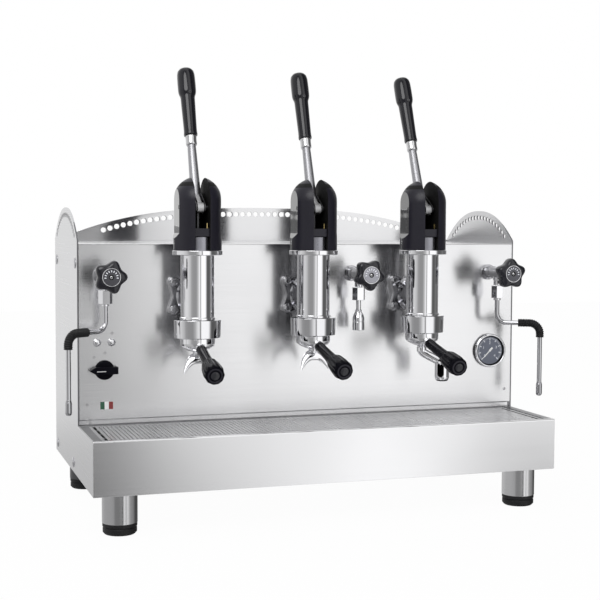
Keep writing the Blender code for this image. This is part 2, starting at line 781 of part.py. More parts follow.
def group_body(name, parent):
    top = SLEEVE_TOP
    profile = [(BORE_RADIUS, top), (SLEEVE_RADIUS, top), (SLEEVE_RADIUS, FLANGE_TOP),
               (FLANGE_RADIUS, FLANGE_TOP), (FLANGE_RADIUS, FLANGE_BOTTOM),
               (CYLINDER_RADIUS, FLANGE_BOTTOM), (CYLINDER_RADIUS, BEAD_TOP),
               (BEAD_RADIUS, BEAD_TOP), (BEAD_RADIUS, COLLAR_TOP),
               (SKIRT_RADIUS, COLLAR_TOP), (SKIRT_RADIUS, SKIRT_BOTTOM),
               (BORE_RADIUS, SKIRT_BOTTOM)]
    body = turned(name, profile, GROUP_STEPS, CHROME, closed=True)
    wall = (BORE_RADIUS + CYLINDER_RADIUS) / 2
    face = GROUP_REACH - GAP
    neck = rod("neck", (0, wall, 0), (0, face - LUG_THICKNESS / 2, 0), NECK_HALF_HEIGHT)
    neck.data.transform(Matrix.Diagonal((NECK_HALF_WIDTH / NECK_HALF_HEIGHT, 1, 1, 1)))
    neck.data.transform(Matrix.Translation((0, 0, NECK_HEIGHT)))
    flange = outline("mounting_flange", [lobed_outline()], LUG_THICKNESS)
    flange.rotation_euler = FACING_Y
    flange.location = (0, face - LUG_THICKNESS / 2, NECK_HEIGHT)
    settle(join(body, neck, as_mesh_in_place(flange)), parent)


def lobed_outline():
    """Four round lugs with drawn-in sides between them."""
    lean = math.degrees(math.atan2(LUG_RISE, LUG_SPREAD))
    reach = (LUG_SPREAD + LUG_RADIUS) * WAIST_SHARE
    rise = (LUG_RISE + LUG_RADIUS) * WAIST_SHARE
    points = []
    corners = ((1, 1, lean), (-1, 1, 180 - lean), (-1, -1, 180 + lean), (1, -1, -lean))
    waists = ((0, rise), (-reach, 0), (0, -rise), (reach, 0))
    for (x, y, facing), waist in zip(corners, waists):
        points += arc((x * LUG_SPREAD, y * LUG_RISE), LUG_RADIUS, facing - 80, facing + 80)
        points.append(waist)
    return points


def lock_collar(name, parent):
    """The bayonet ring: a groove inside carries the portafilter's lugs."""
    top = COLLAR_TOP - GAP
    groove_bottom = COLLAR_BOTTOM + COLLAR_LIP
    groove_top = groove_bottom + COLLAR_GROOVE_HEIGHT
    inner = SKIRT_RADIUS + GAP
    profile = [(inner, top), (COLLAR_RADIUS, top), (COLLAR_RADIUS, COLLAR_BOTTOM),
               (COLLAR_MOUTH, COLLAR_BOTTOM), (COLLAR_MOUTH, groove_bottom),
               (COLLAR_GROOVE, groove_bottom), (COLLAR_GROOVE, groove_top),
               (COLLAR_MOUTH, groove_top), (COLLAR_MOUTH, SKIRT_BOTTOM), (inner, SKIRT_BOTTOM)]
    collar = turned(name, profile, GROUP_STEPS, CHROME, closed=True)
    ears = []
    wall = (COLLAR_GROOVE + COLLAR_RADIUS) / 2 * math.cos(math.pi / GROUP_STEPS)
    for side in (-1, 1):
        edge = [(wall, COLLAR_BOTTOM)]
        edge += arc((COLLAR_EAR_REACH - COLLAR_EAR_ROUND, COLLAR_BOTTOM + COLLAR_EAR_ROUND),
                    COLLAR_EAR_ROUND, -90, 0, 3)
        edge += [(COLLAR_EAR_REACH, top), (wall, top)]
        ear = outline("ear", [[(side * x, z) for x, z in edge]], COLLAR_EAR_DEPTH)
        ear.rotation_euler = FACING_Y
        ears.append(as_mesh_in_place(ear))
    settle(join(collar, *ears), parent)


def cover(name, parent):
    """A domed housing with a slot for the lever and a floor that guides the rod."""
    dome = [(COVER_RADIUS * math.sin(angle), DOME_CENTRE + COVER_RADIUS * math.cos(angle))
            for angle in [math.pi / 2 * step / 5 for step in range(6)]]
    inner = COVER_RADIUS - COVER_WALL
    dome[0] = (0, DOME_TOP)
    shell = turned(name, dome + [(COVER_RADIUS, COVER_BOTTOM), (inner, COVER_BOTTOM),
                                 (inner, COVER_FLOOR_BOTTOM), (0, COVER_FLOOR_BOTTOM)],
                   GROUP_STEPS, BLACK_GLOSS)
    half_slot = COVER_SLOT / 2
    outside = COVER_RADIUS + OVERRUN
    floor_reach = COVER_RADIUS * FLOOR_SHARE_OF_RING
    tools = [
        box("slot", (-half_slot, -outside, COVER_FLOOR_TOP),
            (half_slot, COVER_RADIUS - COVER_BACK_WALL, DOME_TOP + OVERRUN)),
        box("notch", (-half_slot, -outside, DOME_TOP - COVER_NOTCH_DROP),
            (half_slot, outside, DOME_TOP + OVERRUN)),
        box("window", (-half_slot, -outside, COVER_BOTTOM - OVERRUN),
            (half_slot, -floor_reach, DOME_TOP + OVERRUN)),
        rod("rod_guide", (0, 0, COVER_FLOOR_BOTTOM - OVERRUN), (0, 0, COVER_FLOOR_TOP + OVERRUN),
            clear(ROD_RADIUS)),
        rod("pin_hole", (-outside, -FULCRUM_OFFSET, FULCRUM), (outside, -FULCRUM_OFFSET, FULCRUM),
            clear(FULCRUM_RADIUS))]
    for side in (-1, 1):
        edges = sorted((side * COVER_FLAT, side * outside))
        tools.append(box("flat", (edges[0], -outside, COVER_FLOOR_BOTTOM + OVERRUN),
                         (edges[1], outside, DOME_TOP + OVERRUN)))
    settle(cut(shell, *tools), parent)


def fulcrum_pin(name, parent):
    reach = COVER_FLAT - GAP
    pin = rod(name, (-reach, -FULCRUM_OFFSET, FULCRUM), (reach, -FULCRUM_OFFSET, FULCRUM),
              FULCRUM_RADIUS, SMALL_STEPS, CHROME)
    place(pin, parent)


def cam_point(angle, drop):
    """Where a point that rises straight over the rod's line meets the turning lever."""
    climb = FULCRUM_OFFSET * angle - drop
    return (FULCRUM_OFFSET * math.cos(angle) + climb * math.sin(angle),
            -FULCRUM_OFFSET * math.sin(angle) + climb * math.cos(angle))


def cam_plate_outline():
    """Hub, involute cam under the crosshead pin, and the web up to the arm, in (y, z)."""
    drop = CROSSHEAD_RADIUS + GAP
    last = math.radians(LEVER_SWING + CAM_MARGIN)
    cam = [cam_point(last * step / CAM_FACETS, drop) for step in range(CAM_FACETS, -1, -1)]
    tip = Vector(cam[0])
    inward = -tip.normalized()
    across = Vector((-inward.y, inward.x))
    tail = tip + across * WEB_HALF_WIDTH
    pocket = FULCRUM_OFFSET - CROSSHEAD_RADIUS - GAP
    ceiling = CROSSHEAD_RADIUS + GAP
    lean = math.radians(LEVER_LEAN)
    along = Vector((math.sin(lean), math.cos(lean)))
    beside = Vector((math.cos(lean), -math.sin(lean)))
    foot_middle = beside * ARM_OFFSET + along * ARM_START
    top_middle = beside * ARM_OFFSET + along * (ARM_START + WEB_TOP / 2)
    wide = ARM_FOOT_RADIUS * math.cos(math.pi / SMALL_STEPS) - GAP
    rear_foot = foot_middle + beside * wide
    rear_top = top_middle + beside * wide
    front_top = top_middle - beside * wide
    head = arc((0, 0), HUB_RADIUS, 110, 260, ARC_STEPS)
    loop = [tuple(tail)] + [tuple(point) for point in cam]
    loop += [(pocket, -drop), (pocket, ceiling), (rear_foot.x - wide / 2, ceiling),
             tuple(rear_foot), tuple(rear_top), tuple(front_top)]
    return loop + head


def lever(name, parent, sway):
    """Arm, ferrule, two cam plates and the hub, in the frame of the fulcrum."""
    lean = math.radians(LEVER_LEAN)
    grip_start = ARM_REACH - GRIP_LENGTH
    shoulder = grip_start - FERRULE_LENGTH
    profile = [(0, grip_start - GAP), (FERRULE_RADIUS, grip_start - GAP),
               (FERRULE_RADIUS, shoulder), (ARM_TOP_RADIUS, shoulder),
               (ARM_FOOT_RADIUS, ARM_START), (0, ARM_START)]
    arm = settle(turned(name, profile, SMALL_STEPS, CHROME), None,
                 (0, ARM_OFFSET * math.cos(lean), -ARM_OFFSET * math.sin(lean)),
                 (-lean, math.radians(sway), 0))
    arm = as_mesh_in_place(arm)
    parts = [rod("hub", (-HUB_WIDTH / 2, 0, 0), (HUB_WIDTH / 2, 0, 0), HUB_RADIUS, ROUND_STEPS)]
    for side in (-1, 1):
        plate = outline("cam_plate", [cam_plate_outline()], PLATE_THICKNESS)
        plate.rotation_euler = FACING_X
        plate.location = (side * (PLATE_INNER + PLATE_THICKNESS / 2), 0, 0)
        parts.append(as_mesh_in_place(plate))
    reach = PLATE_INNER + PLATE_THICKNESS + OVERRUN
    bore = rod("lever_bore", (-reach, 0, 0), (reach, 0, 0), clear(FULCRUM_RADIUS))
    settle(cut(join(arm, *parts), bore), parent)


def lever_grip(name, parent, sway):
    lean = math.radians(LEVER_LEAN)
    start = ARM_REACH - GRIP_LENGTH
    bulge = ARM_REACH - GRIP_BULGE
    crown = GRIP_TIP_RADIUS * GRIP_CROWN_SHARE
    inner_drop, outer_drop = GRIP_CROWN_DROP_SHARES
    profile = [(0, ARM_REACH), (GRIP_TIP_RADIUS - crown, ARM_REACH - crown * inner_drop),
               (GRIP_TIP_RADIUS, ARM_REACH - crown * outer_drop), (GRIP_TIP_RADIUS, bulge),
               (GRIP_WAIST_RADIUS, bulge - crown), (GRIP_FOOT_RADIUS, start), (0, start)]
    settle(turned(name, profile, SMALL_STEPS, BLACK_GLOSS), parent,
           (0, ARM_OFFSET * math.cos(lean), -ARM_OFFSET * math.sin(lean)),
           (-lean, math.radians(sway), 0))


def piston_bottom():
    return SKIRT_BOTTOM + PISTON_LIFT_OFF


def piston(name, parent):
    """Piston head, rod and the crosshead pin that rides on the cams."""
    head_bottom = piston_bottom()
    head_radius = BORE_RADIUS * math.cos(math.pi / GROUP_STEPS) - GAP
    head_top = head_bottom + PISTON_HEIGHT
    profile = [(0, FULCRUM + ROD_CAP), (ROD_RADIUS, FULCRUM + ROD_CAP), (ROD_RADIUS, head_top),
               (head_radius, head_top), (head_radius, head_bottom), (0, head_bottom)]
    body = turned(name, profile, SMALL_STEPS, CHROME)
    pin = rod("crosshead", (-CROSSHEAD_HALF_LENGTH, 0, FULCRUM), (CROSSHEAD_HALF_LENGTH, 0, FULCRUM),
              CROSSHEAD_RADIUS)
    settle(join(body, pin), parent)


def main_spring(name, parent):
    """A coil between the piston's head and the cover's floor."""
    bottom = piston_bottom() + PISTON_HEIGHT + GAP + SPRING_WIRE
    top = COVER_FLOOR_BOTTOM - GAP - SPRING_WIRE
    count = SPRING_TURNS * SPRING_POINTS
    route = []
    for step in range(count + 1):
        angle = 2 * math.pi * step / SPRING_POINTS
        route.append((SPRING_RADIUS * math.cos(angle), SPRING_RADIUS * math.sin(angle),
                      bottom + (top - bottom) * step / count))
    coil = tube(name, route, SPRING_WIRE, SATIN_STEEL, resolution=1)
    smooth(coil)
    place(coil, parent)
    pitch = (top - bottom) / SPRING_TURNS
    print(f"{name}: least gap between turns {pitch - 2 * SPRING_WIRE:.4f} m")


def double_spout():
    tip = COLLAR_BOTTOM - GAP - BOWL_HEIGHT - SPOUT_DROP
    apex = tip + SPOUT_ARCH
    steps = 8
    route = []
    radii = []
    for step in range(steps + 1):
        share = 2 * step / steps - 1
        route.append((SPOUT_SPREAD * share, 0, apex - SPOUT_ARCH * abs(share) ** SPOUT_POWER))
        radii.append(SPOUT_RADIUS + (SPOUT_TIP_RADIUS - SPOUT_RADIUS) * abs(share))
    return [tube("spout", route, radii)]


def aside(reach, height):
    """A point on the single spout's side of the bowl's axis."""
    bearing = math.radians(CHUTE_BEARING)
    return (reach * math.sin(bearing), -reach * math.cos(bearing), height)


def chute_lip():
    return bowl_neck() - CHUTE_DROP


def single_chute():
    """A spout that leans to one side and ends in an upright, open gutter."""
    start = bowl_neck()
    crown = chute_lip() + CHUTE_LENGTH
    middle = crown - CHUTE_RADIUS
    out, down = CHUTE_ELBOW_SHARES
    route = [aside(0, start), aside(0, start - CHUTE_DROP * CHUTE_ENTRY_SHARE),
             aside(CHUTE_REACH * out, start - CHUTE_DROP * down), aside(CHUTE_REACH, middle)]
    dome = [(CHUTE_RADIUS * math.sin(angle), middle + CHUTE_RADIUS * math.cos(angle))
            for angle in [math.pi / 2 * step / ARC_STEPS for step in range(ARC_STEPS + 1)]]
    dome[0] = (0, crown)
    gutter = turned("gutter", dome + [(CHUTE_RADIUS, chute_lip()), (0, chute_lip())], ROUND_STEPS)
    gutter = settle(gutter, None, aside(CHUTE_REACH, 0))
    return [tube("chute", route, CHUTE_ARM_RADIUS), as_mesh_in_place(gutter)]


def chute_hollow():
    low = chute_lip() - OVERRUN
    inner = CHUTE_RADIUS - CHUTE_WALL
    top = chute_lip() + CHUTE_LENGTH - CHUTE_RADIUS + CHUTE_WALL
    half = inner * CHUTE_MOUTH_SHARE
    bore = rod("chute_bore", aside(CHUTE_REACH, low), aside(CHUTE_REACH, top), inner, ROUND_STEPS)
    mouth = box("chute_mouth", (-half, -2 * CHUTE_RADIUS, low), (half, 0, top))
    place(mouth, None, aside(CHUTE_REACH, 0), (0, 0, -math.radians(CHUTE_FACING)))
    return [bore, as_mesh_in_place(mouth)]


def bowl_neck():
    return COLLAR_BOTTOM - GAP - BOWL_HEIGHT - BOWL_ROUND * BOWL_NECK_SHARE


def portafilter(name, parent, single):
    """Bowl with its rim and lugs inside the collar, stub for the handle, and the spout."""
    top = COLLAR_BOTTOM + RIM_HEIGHT
    shoulder = COLLAR_BOTTOM - GAP
    bottom = shoulder - BOWL_HEIGHT
    rim = COLLAR_MOUTH * math.cos(math.pi / GROUP_STEPS) - SLIDE_CLEARANCE
    floor = top - BASKET_DEPTH
    tip = bottom - SPOUT_DROP + SPOUT_ARCH
    profile = [(0, floor), (BASKET_RADIUS, floor + BOWL_ROUND * BASKET_ROUND_SHARE), (BASKET_RADIUS, top),
               (rim, top), (rim, shoulder), (BOWL_RADIUS, shoulder),
               (BOWL_RADIUS, shoulder - BOWL_HEIGHT * BOWL_WALL_SHARE),
               (BOWL_RADIUS * BOWL_FOOT_SHARE, bottom), (BOWL_NECK_RADIUS, bowl_neck()),
               (BOWL_NECK_RADIUS, tip), (0, tip)]
    bowl = turned(name, profile, GROUP_STEPS, CHROME)
    slope = math.radians(HANDLE_SLOPE)
    root = shoulder - HANDLE_RISE
    towards = Vector((0, -math.cos(slope), -math.sin(slope)))
    origin = Vector((0, 0, root))
    stub = rod("stub", origin + towards * (BASKET_RADIUS + BOWL_RADIUS) / 2,
               origin + towards * (HANDLE_START - GAP), STUB_RADIUS)
    lug_low = COLLAR_BOTTOM + COLLAR_LIP + GAP
    lug_high = lug_low + COLLAR_GROOVE_HEIGHT - 2 * GAP
    lug_reach = COLLAR_GROOVE * math.cos(math.pi / GROUP_STEPS) - SLIDE_CLEARANCE
    lug_half = BOWL_NECK_RADIUS / 2
    parts = [stub]
    for side in (-1, 1):
        edges = sorted((side * (rim + BASKET_RADIUS) / 2, side * lug_reach))
        parts.append(box("lug", (edges[0], -lug_half, lug_low), (edges[1], lug_half, lug_high)))
    if single:
        cut(join(bowl, *parts, *single_chute()), *chute_hollow())
    else:
        join(bowl, *parts, *double_spout())
    settle(bowl, parent)


def portafilter_handle(name, parent):
    """A narrow collar and a thick grip on the sloping axis, modelled along its own Z."""
    slope = math.radians(HANDLE_SLOPE)
    length = HANDLE_END - HANDLE_START
    step = HANDLE_START + length * HANDLE_NARROW_SHARE
    grip = HANDLE_END - step
    profile = [(0, -HANDLE_START), (HANDLE_NARROW_RADIUS, -HANDLE_START),
               (HANDLE_NARROW_RADIUS, -step)]
    profile += [(HANDLE_GRIP_RADIUS * wide, -step - grip * far) for far, wide in HANDLE_GRIP_SHARES]
    profile += [(HANDLE_DISC_RADIUS, -HANDLE_END), (0, -HANDLE_END)]
    root = COLLAR_BOTTOM - GAP - HANDLE_RISE
    settle(turned(name, profile, SMALL_STEPS, BLACK_GLOSS), parent, (0, 0, root),
           (slope - math.pi / 2, 0, 0))


def groups():
    for number, (x, yaw, sway) in enumerate(zip(GROUP_PLACES, HANDLE_YAWS, LEVER_SWAYS), 1):
        axis = holder(f"group_{number}", MACHINE, (x, -GROUP_REACH, 0))
        fulcrum = holder(f"lever_{number}_axis", axis, (0, -FULCRUM_OFFSET, FULCRUM))
        lock = holder(f"portafilter_{number}_axis", axis, rotation=(0, 0, -math.radians(yaw)))
        group_body(f"group_body_{number}", axis)
        lock_collar(f"lock_collar_{number}", axis)
        cover(f"cover_{number}", axis)
        fulcrum_pin(f"fulcrum_pin_{number}", axis)
        lever(f"lever_{number}", fulcrum, sway)
        lever_grip(f"lever_grip_{number}", fulcrum, sway)
        piston(f"piston_{number}", axis)
        main_spring(f"main_spring_{number}", axis)
        portafilter(f"portafilter_{number}", lock, single=number == len(GROUP_PLACES))
        portafilter_handle(f"portafilter_handle_{number}", lock)


# Steam valves and hot-water tap

def valve_body(name, x, spout=False):
    """A body that points forward, with an outlet and its nut below."""
    start = VALVE_LENGTH - KNOB_DISC_HEIGHT
    profile = [(0, start), (SPINDLE_RADIUS, start), (SPINDLE_RADIUS, start - SPINDLE_LENGTH),
               (VALVE_RADIUS, start - SPINDLE_LENGTH), (VALVE_RADIUS, VALVE_ROSE_THICKNESS + GAP),
               (VALVE_ROSE_RADIUS, VALVE_ROSE_THICKNESS + GAP), (VALVE_ROSE_RADIUS, GAP), (0, GAP)]
    body = settle(turned(name, profile, SMALL_STEPS, CHROME), None, (0, 0, 0), POINTING_FORWARD)
    body = as_mesh_in_place(body)
    nut_top = -OUTLET_DROP
    nut_bottom = nut_top - NUT_HEIGHT
    outlet = rod("outlet", (0, -OUTLET_REACH, 0), (0, -OUTLET_REACH, nut_top - GAP),
                 OUTLET_RADIUS)
    nut = rod("nut", (0, -OUTLET_REACH, nut_bottom), (0, -OUTLET_REACH, nut_top),
              NUT_WIDTH / 2 / math.cos(math.pi / HOLE_STEPS), HOLE_STEPS)
    join(body, outlet, nut)
    if spout:
        bell_top = -SPOUT_PIPE_LENGTH
        entry = OUTLET_DROP / 4
        profile = [(0, entry), (WAND_RADIUS, entry), (WAND_RADIUS, bell_top),
                   (BELL_RADIUS, bell_top - BELL_HEIGHT),
                   (BELL_RADIUS, bell_top - BELL_HEIGHT - BELL_LENGTH),
                   (WAND_RADIUS, bell_top - BELL_HEIGHT - BELL_LENGTH),
                   (WAND_RADIUS, bell_top - BELL_HEIGHT), (0, bell_top - BELL_HEIGHT)]
        bell = settle(turned("bell", profile, SMALL_STEPS), None, (0, -OUTLET_REACH, nut_bottom))
        join(body, as_mesh_in_place(bell))
    else:
        socket = rod("socket", (0, -OUTLET_REACH, nut_bottom - OVERRUN),
                     (0, -OUTLET_REACH, nut_bottom + WAND_SOCKET + GAP), clear(WAND_RADIUS))
        cut(body, socket)
    settle(body, MACHINE, (x, 0, VALVE_HEIGHT))


def star_outline():
    """Five rounded lobes, one of them pointing along +X."""
    steps = 6 * KNOB_LOBES
    middle = KNOB_RADIUS / (1 + KNOB_LOBE_SHARE)
    points = []
    for step in range(steps):
        angle = 2 * math.pi * step / steps
        radius = middle * (1 + KNOB_LOBE_SHARE * math.cos(KNOB_LOBES * angle))
        points.append((radius * math.cos(angle), radius * math.sin(angle)))
    return points


def valve_knob(name, x):
    """A star knob on the spindle, with a face disc."""
    star = outline(name, [star_outline()], KNOB_THICKNESS, BLACK_GLOSS)
    disc = rod("disc", (0, 0, 0), (0, 0, KNOB_THICKNESS / 2 + KNOB_DISC_HEIGHT), KNOB_DISC_RADIUS,
               ROUND_STEPS)
    socket = rod("spindle_socket", (0, 0, -KNOB_THICKNESS / 2 - OVERRUN),
                 (0, 0, -KNOB_THICKNESS / 2 + SPINDLE_LENGTH - GAP), clear(SPINDLE_RADIUS))
    cut(join(star, disc), socket)
    start = VALVE_LENGTH - KNOB_DISC_HEIGHT - SPINDLE_LENGTH + GAP
    settle(star, MACHINE, (x, -start - KNOB_THICKNESS / 2, VALVE_HEIGHT), POINTING_FORWARD)


def bend_route(start, corner, end, radius, steps):
    """Points of a round bend between two straight runs."""
    start = Vector(start)
    corner = Vector(corner)
    end = Vector(end)
    back = (start - corner).normalized()
    ahead = (end - corner).normalized()
    half = back.angle(ahead) / 2
    trim = radius / math.tan(half)
    centre = corner + (back + ahead).normalized() * radius / math.sin(half)
    first = corner + back * trim - centre
    last = corner + ahead * trim - centre
    spokes = [first.normalized().slerp(last.normalized(), step / steps) for step in range(steps + 1)]
    return [centre + spoke * radius for spoke in spokes]


def wand_corners():
    """The wand's centre line in the plane of its arm: down, out and down again."""
    top = WAND_SOCKET
    arm = -WAND_DROP
    end = arm - WAND_LENGTH - TIP_LENGTH
    return (0, 0, top), (0, 0, arm), (WAND_REACH, 0, arm), (WAND_REACH, 0, end)


def steam_wand(name, axis):
    start, elbow, knee, end = wand_corners()
    tip_top = Vector(end) + Vector((0, 0, TIP_LENGTH))
    route = [Vector(start)] + bend_route(start, elbow, knee, WAND_BEND, 4)
    route += bend_route(elbow, knee, end, SLEEVE_BEND, 4) + [tip_top]
    wand = tube(name, route, WAND_RADIUS, CHROME)
    profile = [(0, TIP_LENGTH + TIP_LENGTH / 4), (WAND_RADIUS / 2, TIP_LENGTH + TIP_LENGTH / 4),
               (TIP_RADIUS, TIP_LENGTH), (TIP_RADIUS, TIP_RADIUS / 2), (TIP_RADIUS / 2, 0), (0, 0)]
    tip = settle(turned("wand_tip", profile, SMALL_STEPS), None, end)
    settle(join(wand, as_mesh_in_place(tip)), axis)


def wand_sleeve(name, axis):
    """A ribbed grip over the wand's outer bend, with a bore that clears the pipe."""
    start, elbow, knee, end = wand_corners()
    first = Vector((SLEEVE_START, 0, elbow[2]))
    last = Vector((WAND_REACH, 0, knee[2] - SLEEVE_DROP))
    bend = bend_route(elbow, knee, end, SLEEVE_BEND, 8)
    route = [first] + bend + [last]
    ribbed = []
    radii = []
    for here, ahead in zip(route, route[1:]):
        ribbed += [here, (here + ahead) / 2]
        radii += [SLEEVE_TUBE_RADIUS - SLEEVE_RIB, SLEEVE_TUBE_RADIUS + SLEEVE_RIB]
    ribbed.append(last)
    radii.append(SLEEVE_TUBE_RADIUS - SLEEVE_RIB)
    sleeve = tube(name, ribbed, radii, BLACK_MATTE)
    entry = Vector((SLEEVE_START - OVERRUN, 0, elbow[2]))
    exit_ = last - Vector((0, 0, OVERRUN))
    bore_bend = bend_route(elbow, knee, end, SLEEVE_BEND, 4)
    bore = tube("sleeve_bore", [entry] + bore_bend + [exit_], clear(WAND_RADIUS, TUBE_STEPS))
    settle(cut(sleeve, bore), axis)


def steam_side(side, x, sign):
    valve_body(f"steam_valve_{side}", x)
    valve_knob(f"steam_knob_{side}", x)
    height = VALVE_HEIGHT - OUTLET_DROP - NUT_HEIGHT
    turn = math.radians(WAND_TURN)
    facing = -turn if sign > 0 else math.pi + turn
    axis = holder(f"steam_wand_{side}_axis", MACHINE, (x, -OUTLET_REACH, height), (0, 0, facing))
    steam_wand(f"steam_wand_{side}", axis)
    wand_sleeve(f"wand_sleeve_{side}", axis)


def steam_and_water():
    steam_side("left", LEFT_VALVE_PLACE, -1)
    steam_side("right", RIGHT_VALVE_PLACE, 1)
    valve_body("water_tap", TAP_PLACE, spout=True)
    valve_knob("water_knob", TAP_PLACE)


# Controls

def gauge_place():
    return HALF_WIDTH - GAUGE_INSET


def gauge_case():
    """Bezel, recessed dial and the body behind the splash panel."""
    profile = [(0, GAUGE_PROUD - GAUGE_RECESS), (GAUGE_RADIUS - GAUGE_RING, GAUGE_PROUD - GAUGE_RECESS),
               (GAUGE_RADIUS - GAUGE_RING, GAUGE_PROUD), (GAUGE_RADIUS - GAUGE_RING / 3, GAUGE_PROUD),
               (GAUGE_RADIUS, GAUGE_PROUD - GAUGE_RING / 2), (GAUGE_RADIUS, GAP),
               (GAUGE_BODY_RADIUS, GAP), (GAUGE_BODY_RADIUS, -GAUGE_DEPTH), (0, -GAUGE_DEPTH)]
    settle(turned("gauge_case", profile, GROUP_STEPS, CHROME), MACHINE,
           (gauge_place(), 0, RIM + GAUGE_RISE), POINTING_FORWARD)


def gauge_needle():
    """A tapered hand that turns on the dial's middle."""
    half = NEEDLE_WIDTH / 2
    edge = [(-half, -NEEDLE_TAIL), (half, -NEEDLE_TAIL), (half / 3, NEEDLE_LENGTH),
            (-half / 3, NEEDLE_LENGTH)]
    needle = outline("gauge_needle", [edge], NEEDLE_SHEET, DIAL)
    hub = rod("needle_hub", (0, 0, -NEEDLE_SHEET / 2), (0, 0, NEEDLE_SHEET), NEEDLE_HUB)
    proud = GAUGE_PROUD - GAUGE_RECESS + GAP + NEEDLE_SHEET / 2
    settle(join(needle, hub), MACHINE, (gauge_place(), -proud, RIM + GAUGE_RISE),
           (math.pi / 2, -math.radians(NEEDLE_REST), 0))


def switch_knob():
    """A disc with a bar grip that comes to a point."""
    disc = rod("switch_knob", (0, 0, GAP), (0, 0, SWITCH_DISC), SWITCH_RADIUS, ROUND_STEPS,
               BLACK_GLOSS)
    half = SWITCH_BAR_WIDTH / 2
    point = -SWITCH_BAR_LENGTH * SWITCH_POINT_SHARE
    blunt = SWITCH_BAR_LENGTH + point
    edge = [(point, 0), (-SWITCH_RADIUS, -half), (blunt, -half), (blunt, half), (-SWITCH_RADIUS, half)]
    bar = outline("switch_bar", [edge], SWITCH_BAR_HEIGHT)
    bar.location = (0, 0, SWITCH_DISC / 2 + SWITCH_BAR_HEIGHT / 2)
    settle(join(disc, as_mesh_in_place(bar)), MACHINE,
           (-HALF_WIDTH + SWITCH_INSET, 0, RIM + SWITCH_RISE), POINTING_FORWARD)


def button_places():
    middle = -HALF_WIDTH + SWITCH_INSET
    return middle - BUTTON_SPREAD / 2, middle + BUTTON_SPREAD / 2


def push_buttons():
    """Two domed buttons, each on a stem through the splash panel."""
    for side, x in zip(("left", "right"), button_places()):
        base = BUTTON_TRAVEL + GAP
        shoulder, edge = (base + BUTTON_DOME * share for share in BUTTON_DOME_SHARES)
        profile = [(0, base + BUTTON_DOME), (BUTTON_RADIUS * BUTTON_SHOULDER_SHARE, shoulder),
                   (BUTTON_RADIUS, edge), (BUTTON_RADIUS, base),
                   (BUTTON_STEM, base), (BUTTON_STEM, -BUTTON_STEM_LENGTH),
                   (0, -BUTTON_STEM_LENGTH)]
        settle(turned(f"push_button_{side}", profile, SMALL_STEPS, CHROME), MACHINE,
               (x, 0, RIM + BUTTON_RISE), POINTING_FORWARD)


side_panel("side_panel_left", -1)
side_panel("side_panel_right", 1)
gallery_rail()
splash_panel()
cup_shelf()
rear_panel()
front_apron()
drip_basin()
drip_grid()
base_frame()
boiler()
feet()
groups()
steam_and_water()
gauge_case()
gauge_needle()
switch_knob()
push_buttons()
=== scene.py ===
import bmesh
import bpy
import json
from functools import partial
from math import atan2, cos, degrees, hypot, pi, radians, sin, sqrt, tan, tau
from mathutils import Euler, Matrix, Vector

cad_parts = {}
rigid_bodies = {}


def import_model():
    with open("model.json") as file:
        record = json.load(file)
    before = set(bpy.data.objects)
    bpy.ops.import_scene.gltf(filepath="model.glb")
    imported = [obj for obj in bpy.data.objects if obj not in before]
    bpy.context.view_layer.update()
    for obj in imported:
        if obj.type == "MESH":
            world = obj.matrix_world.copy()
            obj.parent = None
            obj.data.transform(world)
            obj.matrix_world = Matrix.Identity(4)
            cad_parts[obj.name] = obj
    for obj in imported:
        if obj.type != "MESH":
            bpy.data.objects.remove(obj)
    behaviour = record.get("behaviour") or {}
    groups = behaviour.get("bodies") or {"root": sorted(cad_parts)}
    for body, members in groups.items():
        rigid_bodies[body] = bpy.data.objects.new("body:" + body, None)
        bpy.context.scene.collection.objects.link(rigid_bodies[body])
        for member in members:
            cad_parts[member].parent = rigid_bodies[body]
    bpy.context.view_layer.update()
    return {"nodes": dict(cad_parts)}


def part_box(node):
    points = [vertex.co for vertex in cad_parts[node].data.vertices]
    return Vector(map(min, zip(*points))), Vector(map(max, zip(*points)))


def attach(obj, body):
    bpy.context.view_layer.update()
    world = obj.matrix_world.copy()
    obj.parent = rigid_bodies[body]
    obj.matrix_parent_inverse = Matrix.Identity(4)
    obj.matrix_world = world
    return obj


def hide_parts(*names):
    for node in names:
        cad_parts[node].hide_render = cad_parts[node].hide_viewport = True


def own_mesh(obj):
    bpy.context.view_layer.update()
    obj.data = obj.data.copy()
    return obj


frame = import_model()
# Everything below is written with x = 0 in the middle, y = 0 on the splash and z = 0 on the floor
SHIFT = Vector((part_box("side_panel_left")[0].x + 0.475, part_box("splash_panel")[0].y, 0))
SCENE = bpy.context.scene
SIDES = (("left", -1), ("right", 1))


# Sizes in metres. A profile inside mm(...) is in millimetres
HALF = 0.475
INNER = 0.4717
DEPTH = 0.335
FRONT = -0.1915
BASE = 0.0795
RIM = 0.1828
DECK = 0.5405
SHOULDER = 0.547
SHEET = 0.0015
SIDE_SHEET = 0.003
RAIL_SHEET = 0.002
SIDE_ARCH = (0.0668, 2.25)
RAIL_ARCH = (0.0735, 2.8)
HOLE_PITCH = 0.0155
FOOT_RADIUS = 0.0335
PAD_HIGH = 0.0215
GROUPS = (-0.2541, -0.0162, 0.2217)
AXIS_Y = -0.085
YAWS = (4.1, 1.1, 1.9)
SWAYS = (0.2, 0.35, -1.3)
COLLAR_LOW = 0.3593
COVER_LOW = 0.5296
FLOOR_LOW = 0.5563
FLOOR_HIGH = 0.5719
DOME = 0.6251
DOME_RADIUS = 0.047
COVER_HIGH = 0.6721
FULCRUM_Y = -0.019
FULCRUM_Z = 0.6123
LEAN = 20
ARM_REACH = 0.0239
SPRING_LOW = 0.39613
SPRING_HIGH = 0.55593
NECK_Z = 0.43701
MOUNT_FACE = 0.0847
MOUNT_SPREAD = 0.031
MOUNT_RISE = 0.028
BOWL_TOP = 0.359
HANDLE_SLOPE = 12.3
